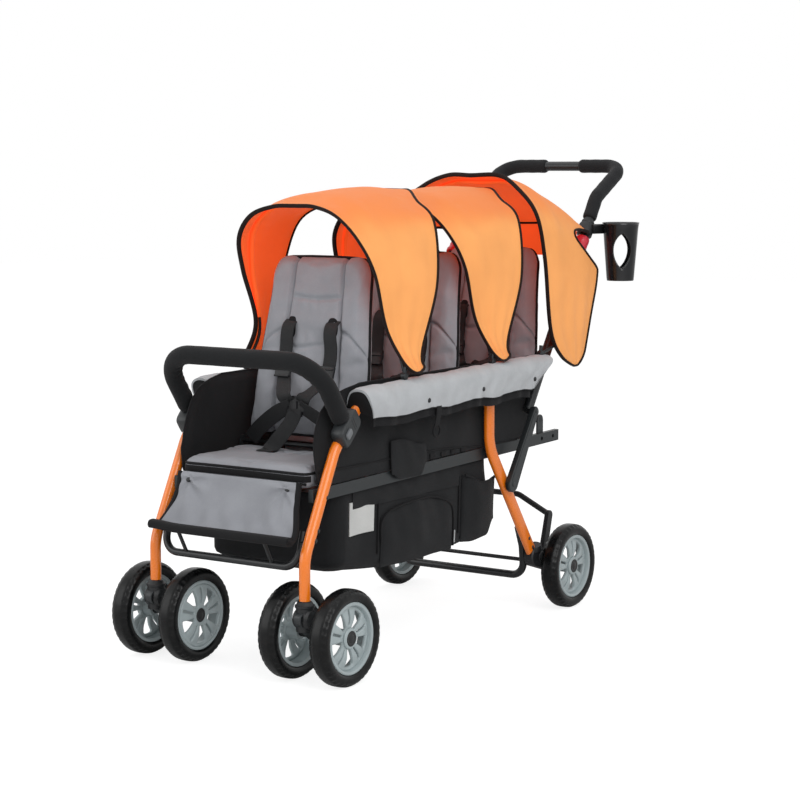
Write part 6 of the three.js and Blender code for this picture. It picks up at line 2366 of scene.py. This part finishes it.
@dataclass
class CalfRest:
    """The padded flap from the first cushion down to its stiff lip."""

    top_half: float = 160.0
    lip_half: float = 183.0
    snap: tuple[float, float] = (130.0, 392.0)
    path: Section = ((-11, 408), (-19.5, 370), (-39.8, 321.6), (-62.5, 298), (-86, 302))

    def line(self, count: int) -> list[Vector]:
        """The flap's middle line in the side view."""
        return evenly(curve([spot(0, y, z) for y, z in self.path], 8), count)

    def half(self, share: float) -> float:
        """Half the flap's width at a share of its length."""
        return mix(self.top_half, self.lip_half, smooth(0.2, 0.95, share))

    def make_flap(self) -> bpy.types.Object:
        """Makes the padded flap, with folds that run from its snaps."""
        skin = Skin("calf_flap")
        line = self.line(44)
        found = frames(line, ACROSS)
        outer, inner = [], []
        for i, (at, (_, _, up)) in enumerate(zip(line, found)):
            share = i / (len(line) - 1)
            face, lining = [], []
            for k in range(73):
                u = k / 36 - 1
                x = u * self.half(share)
                edge = smooth(1.0, 0.93, abs(u)) * smooth(0, 0.06, share) * smooth(1, 0.92, share)
                pull = math.atan2(share - 0.1, abs(abs(u) - 0.79) + 0.02)
                fold = (4.2 * math.sin(7 * pull + 3 * u) * hill(abs(u), 0.72, 0.28) * hill(share, 0.25, 0.3)
                        + 3.4 * math.sin(u * 8 + 4 * share) * smooth(0.1, 0.6, share)
                        + 2.2 * math.sin(u * 19 + 2.5 * math.sin(4 * share)) * smooth(0.2, 0.7, share)
                        - 4.5 * hill(u, 0.05, 0.3) * hill(share, 0.3, 0.2))
                lift = fold * edge * smooth(0.95, 0.7, share)
                thick = mix(1.2, 3.2, edge)
                face.append(at + (ACROSS * x + up * (lift + thick)) * MILLIMETRE)
                lining.append(at + (ACROSS * x + up * (lift - thick)) * MILLIMETRE)
            outer.append(face)
            inner.append(lining)
        skin.lined(outer, inner)
        return skin.build(60)

    def make_edges(self) -> bpy.types.Object:
        """Binds the flap's sides and stiffens its lip."""
        skin = Skin("calf_edges")
        line = self.line(30)
        for s in (1, -1):
            path = [p + ACROSS * s * (self.half(i / 29) - 3) * MILLIMETRE for i, p in enumerate(line)]
            skin.sweep(path, oval(12, 8.5, 14, 3.0), ACROSS)
        end = round(self.lip_half)
        path = [line[-1] + Vector((x, 10, 4 * hill(x, -end, 40) - 4)) * MILLIMETRE
                for x in range(-end, end + 1, 6)]
        skin.sweep(path, oval(26, 19, 20, 2.6), REARWARD)
        return skin.build()

    def make_snaps(self, flap: bpy.types.Object) -> bpy.types.Object:
        """Sets two snaps near the flap's top."""
        reader = Reader(flap)
        skin = Skin("calf_snaps")
        x, z = self.snap
        for s in (1, -1):
            on = reader.meet(spot(s * x, -80, z), REARWARD, spot(s * x, -14, z))
            skin.dome(on - REARWARD * 0.0004, Vector((0, -0.9, 0.4)).normalized(), 5.4, 2.6)
        return skin.build()

    def make(self) -> None:
        """Makes and dresses the flap."""
        flap = piece(self.make_flap(), None, Look.GREY, "calf_panel")
        pieces = [flap, piece(self.make_edges(), None, Look.PIPING),
                  piece(self.make_snaps(flap), None, Look.PLASTIC)]
        for made in pieces:
            tuple(spot(0, -10, 398))
            tuple(spot(0, -60, 305))
            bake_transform(made)


@dataclass
class Basket:
    """The cloth basket under the seats, with a window, a zip pocket and an open pocket each side."""

    half: float = 176.0
    front_y: float = 90.0
    rear_y: float = 690.0
    tail_y: float = 722.0
    low_z: float = 203.0
    sag: float = 20.0
    corner: float = 34.0
    side_steps: int = 62
    levels: int = 22

    def top(self, y: float) -> float:
        """How high the basket's edge is."""
        return rail_top(y) - 26.5

    def wall(self, y: float, z: float) -> float:
        """How far out the near wall is at a place."""
        down = (self.top(y) - z) / (self.top(y) - self.low_z)
        bulge = 2.5 * math.sin(y / 43) + 1.8 * math.sin(y / 21 + 2)
        return self.half - 3 - 4 * down + bulge * math.sin(math.pi * min(1, max(0, down)))

    def ring(self, share: float) -> list[Vector]:
        """One level of the tub, from its edge at 0 to the floor's rim at 1."""
        rear = mix(self.rear_y, self.tail_y, smooth(0, 0.9, share))
        round_in = 20 * smooth(0.85, 1.0, share) ** 2
        points = []
        r = self.corner
        long_low, long_high = self.front_y + r + round_in, rear - r - round_in
        half = self.half - 3 - 4 * share - round_in
        for k in range(self.side_steps + 1):
            y = mix(long_low, long_high, k / self.side_steps)
            sag = self.sag * math.sin(math.pi * k / self.side_steps)
            z = mix(self.top(y), self.low_z - sag * share, share)
            points.append((self.wall(y, z) - round_in, y, z))
        turns = [(half - r + r * math.cos(t), r * math.sin(t)) for t in (0.3, 0.6, 0.95, 1.25)]
        turn = [(x, long_high + y) for x, y in turns]
        z = points[-1][2]
        points += [(x, y, z) for x, y in turn]
        ends = [(half - r) * (1 - k / 6) for k in range(1, 12)]
        points += [(x, long_high + r + 3 * math.sin(math.pi * k / 12), z) for k, x in enumerate(ends, 1)]
        points += [(-x, y, z) for x, y in reversed(turn)]
        points += [(-x, y, z) for x, y, z in reversed(points[:self.side_steps + 1])]
        front = [(x, long_low - y) for x, y in turns]
        z = points[0][2]
        points += [(-x, y, z) for x, y in front]
        points += [(-x, long_low - r, z) for x in ends]
        points += [(x, y, z) for x, y in reversed(front)]
        return [spot(*p) for p in points]

    def make_tub(self) -> bpy.types.Object:
        """Makes the tub with its floor and its windows."""
        skin = Skin("basket_tub")
        mirror = self.side_steps + 8 + 11

        def is_open(level: int, step: int) -> bool:
            """Whether a face lies in one of the two windows."""
            column = step if step < self.side_steps else mirror + self.side_steps - step
            return 2 <= column < 12 and 3 <= level < 12

        rows = [self.ring(k / self.levels) for k in range(self.levels + 1)]
        before = skin.pierced(rows, is_open)[-1]
        ring = self.ring(1.0)
        middle = sum(ring, Vector()) / len(ring)
        for size in (0.85, 0.6, 0.35, 0.12):
            inner = skin.row([Vector((middle.x + (p.x - middle.x) * size, middle.y + (p.y - middle.y) * size,
                                      p.z - 0.004 * (1 - size))) for p in ring])
            skin.strip(before, inner, wrap=True)
            before = inner
        skin.face(*before)
        made = skin.build(70)
        outside = len(made.data.polygons)
        worked(made, "SOLIDIFY", thickness=2.4 * MILLIMETRE, offset=-1.0)
        for face in made.data.polygons[outside:2 * outside]:
            face.material_index = 1
        return made

    def make_trims(self, side: Side) -> bpy.types.Object:
        """Makes the piping over the zip pocket, its edge tapes and the top band."""
        skin = Skin(f"basket_piping_{side.word}")
        s = side.value

        def line(points: Section, out: float, size: float) -> None:
            """Runs a cord over the wall.

            Args:
                points: How far back and how high it passes.
                out: How far out from the wall it lies.
                size: Its radius.
            """
            places = [spot(s * (self.wall(y, z) + out), y, z) for y, z in points]
            skin.sweep(curve(places, 6), circle(size, 10))

        line([(252, 250), (252, 290), (280, 312), (350, 322), (444, 322), (505, 306), (531, 278),
              (534, 200)], 5, 2.4)
        line([(570, 356), (600, 346), (634, 333), (672, 333), (712, 338)], 12, 2.2)
        for y in (244, 560):
            line([(y, 355), (y, 300), (y, 225)], 2, 2.2)
        return skin.build()

    def make_zip(self, side: Side) -> bpy.types.Object:
        """Hangs the zip's pull."""
        skin = Skin(f"zip_pull_{side.word}")
        path = [spot(side.value * (self.wall(532, z) + 10), 532, z) for z in (236, 224, 208)]
        skin.sweep(path, oval(2, 5, 10, 3.0), ACROSS)
        return skin.build()

    def make(self) -> None:
        """Makes and dresses the basket."""
        tub = piece(self.make_tub(), "chassis", (Look.BLACK, Look.LINING), "basket")
        patches = (
            ("zip_pocket", lambda y: 193, lambda y: 322 - 22 * abs((y - 392) / 140) ** 3,
             (254, 532), (11.0, 0.0), (0.29, 0.14)),
            ("open_pocket", lambda y: 203 + 34 * smooth(668, 712, y) ** 2 - 6 * hill(y, 620, 40),
             lambda y: mix(356, 338, smooth(570, 712, y)) - 16 * hill(y, 634, 36),
             (570, 712), (9.0, 12.0), (0.16, 0.17)),
            ("basket_band", lambda y: 333, lambda y: self.top(y) - 1,
             (150, 560), (2.0, 0.0), (0.41, 0.035)))
        for side in Side:
            for name, low, high, reach, puffs, flat in patches:
                made = piece(patch(name, side, self.wall, low, high, reach, *puffs), "chassis", Look.BLACK)
            pane = patch("basket_window", side, self.wall, lambda y: 277, lambda y: 348, (139, 230), 0.0)
            piece(pane, "chassis", Look.LINING)
            piece(self.make_trims(side), "chassis", Look.PIPING)
            piece(self.make_zip(side), "chassis", Look.ZIP)


def make_seats() -> None:
    """Makes the three seats from one cushion and one back."""
    first = Seat(0)
    cushion, back = first.make_cushion(), first.make_back()
    loop = edge_loop(back, first.back_ring(-4.0, 1.0), 1.5)
    for index in reversed(range(SEAT_COUNT)):
        seat = Seat(index)
        seat.dress_cushion(cushion)
        seat.dress_back(back, loop)
        seat.make_wires()
        seat.make_harness(back)
    bpy.data.objects.remove(back)


# The studio

WHITE = (1.0, 1.0, 1.0, 1.0)


@dataclass
class Studio:
    """The camera at the photograph's place, a pale floor and soft lights."""

    camera_place: tuple[float, float, float] = (2.6866, -3.9410, 1.0390)
    azimuth: float = 34.54932
    elevation: float = 6.32360
    lens: float = 93.34
    floor_half: float = 14.0

    def make_camera(self) -> None:
        """Places the camera."""
        a, e = math.radians(self.azimuth), math.radians(self.elevation)
        back = Vector((math.sin(a) * math.cos(e), -math.cos(a) * math.cos(e), math.sin(e)))
        data = bpy.data.cameras.new("Camera")
        data.lens, data.sensor_width = self.lens, 36.0
        data.clip_start, data.clip_end = 0.05, 100.0
        camera = bpy.data.objects.new("Camera", data)
        bpy.context.scene.collection.objects.link(camera)
        camera.location = Vector(self.camera_place)
        camera.rotation_mode = "QUATERNION"
        camera.rotation_quaternion = (-back).to_track_quat("-Z", "Y")
        bpy.context.scene.camera = camera

    def make_floor(self) -> None:
        """Lays a white floor that keeps the shadow and meets the white background."""
        skin = Skin("studio_floor")
        half = self.floor_half
        corners = [Vector((x * half, y * half, 0)) for x, y in ((-1, -1), (1, -1), (1, 1), (-1, 1))]
        skin.face(*skin.row(corners))
        made = skin.build()
        graph = Graph(bpy.data.materials.new("studio_floor"))
        share = self.ray(graph, "Is Camera Ray") * 0.55
        paint = graph.node("ShaderNodeBsdfDiffuse", None, {"Color": (0.92, 0.92, 0.92, 1.0)})
        glow = graph.node("ShaderNodeEmission", None, {"Color": WHITE, "Strength": 1.5})
        both = graph.node("ShaderNodeMixShader", None, {0: share, 1: paint.outputs[0], 2: glow.outputs[0]})
        graph.node("ShaderNodeOutputMaterial", None, {"Surface": both.outputs[0]})
        made.data.materials.append(graph.owner)

    def ray(self, graph: Graph, kind: str) -> Term:
        """Whether the light is followed for one kind of ray."""
        return Term(graph, graph.node("ShaderNodeLightPath").outputs[kind])

    def make_world(self) -> None:
        """Sets a white background, and a softer one for the light that it gives."""
        graph = Graph(bpy.data.worlds.new("Studio"))
        kinds = ("Is Camera Ray", "Is Glossy Ray", "Is Transmission Ray")
        seen = sum((self.ray(graph, kind) for kind in kinds[1:]), self.ray(graph, kinds[0]))
        soft, white = (graph.node("ShaderNodeBackground", None, {"Color": WHITE, "Strength": strength})
                       for strength in (0.5, 1.0))
        both = graph.node("ShaderNodeMixShader", None, {0: seen, 1: soft.outputs[0], 2: white.outputs[0]})
        graph.node("ShaderNodeOutputWorld", None, {"Surface": both.outputs[0]})
        bpy.context.scene.world = graph.owner

    def make_light(self, name: str, place: Vector, size: float, power: float) -> None:
        """Hangs one soft square light that looks at the stroller.

        Args:
            name: The light's name.
            place: Where it hangs.
            size: The length of its side, in metres.
            power: Its power, in watts.
        """
        data = bpy.data.lights.new(name, "AREA")
        data.shape, data.size, data.energy = "SQUARE", size, power
        light = bpy.data.objects.new(name, data)
        light.location = place
        light.rotation_mode = "QUATERNION"
        light.rotation_quaternion = (Vector((0, 0, 0.45)) - place).to_track_quat("-Z", "Y")
        bpy.context.scene.collection.objects.link(light)

    def make(self) -> None:
        """Sets up the whole studio."""
        self.make_camera()
        self.make_floor()
        self.make_world()
        self.make_light("Key", Vector((3.0, -2.0, 2.6)), 2.6, 66)
        self.make_light("Top", Vector((-0.4, 0.2, 3.4)), 3.0, 20)
        self.make_light("Fill", Vector((-2.2, -3.2, 1.8)), 2.5, 32)
        bpy.context.scene.view_settings.view_transform = "Standard"


def main() -> None:
    """Builds every group in order."""
    logging.basicConfig(level=logging.INFO, format="%(name)s: %(message)s")
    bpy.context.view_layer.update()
    Studio().make()
    for side in Side:
        Legs(side).make()
        Caster(side).make()
    handle = Handle()
    handle.make()
    RearEnd().make()
    FrontEnd().make()
    CupHolder().make(handle)
    carried("seat_frame", Look.RAIL, 0.5)
    Basket().make()
    make_seats()
    CalfRest().make()
    for side in Side:
        SidePad(side).make()
    for index in range(SEAT_COUNT):
        Sunshade(index).make()


if __name__ == "__main__":
    main()
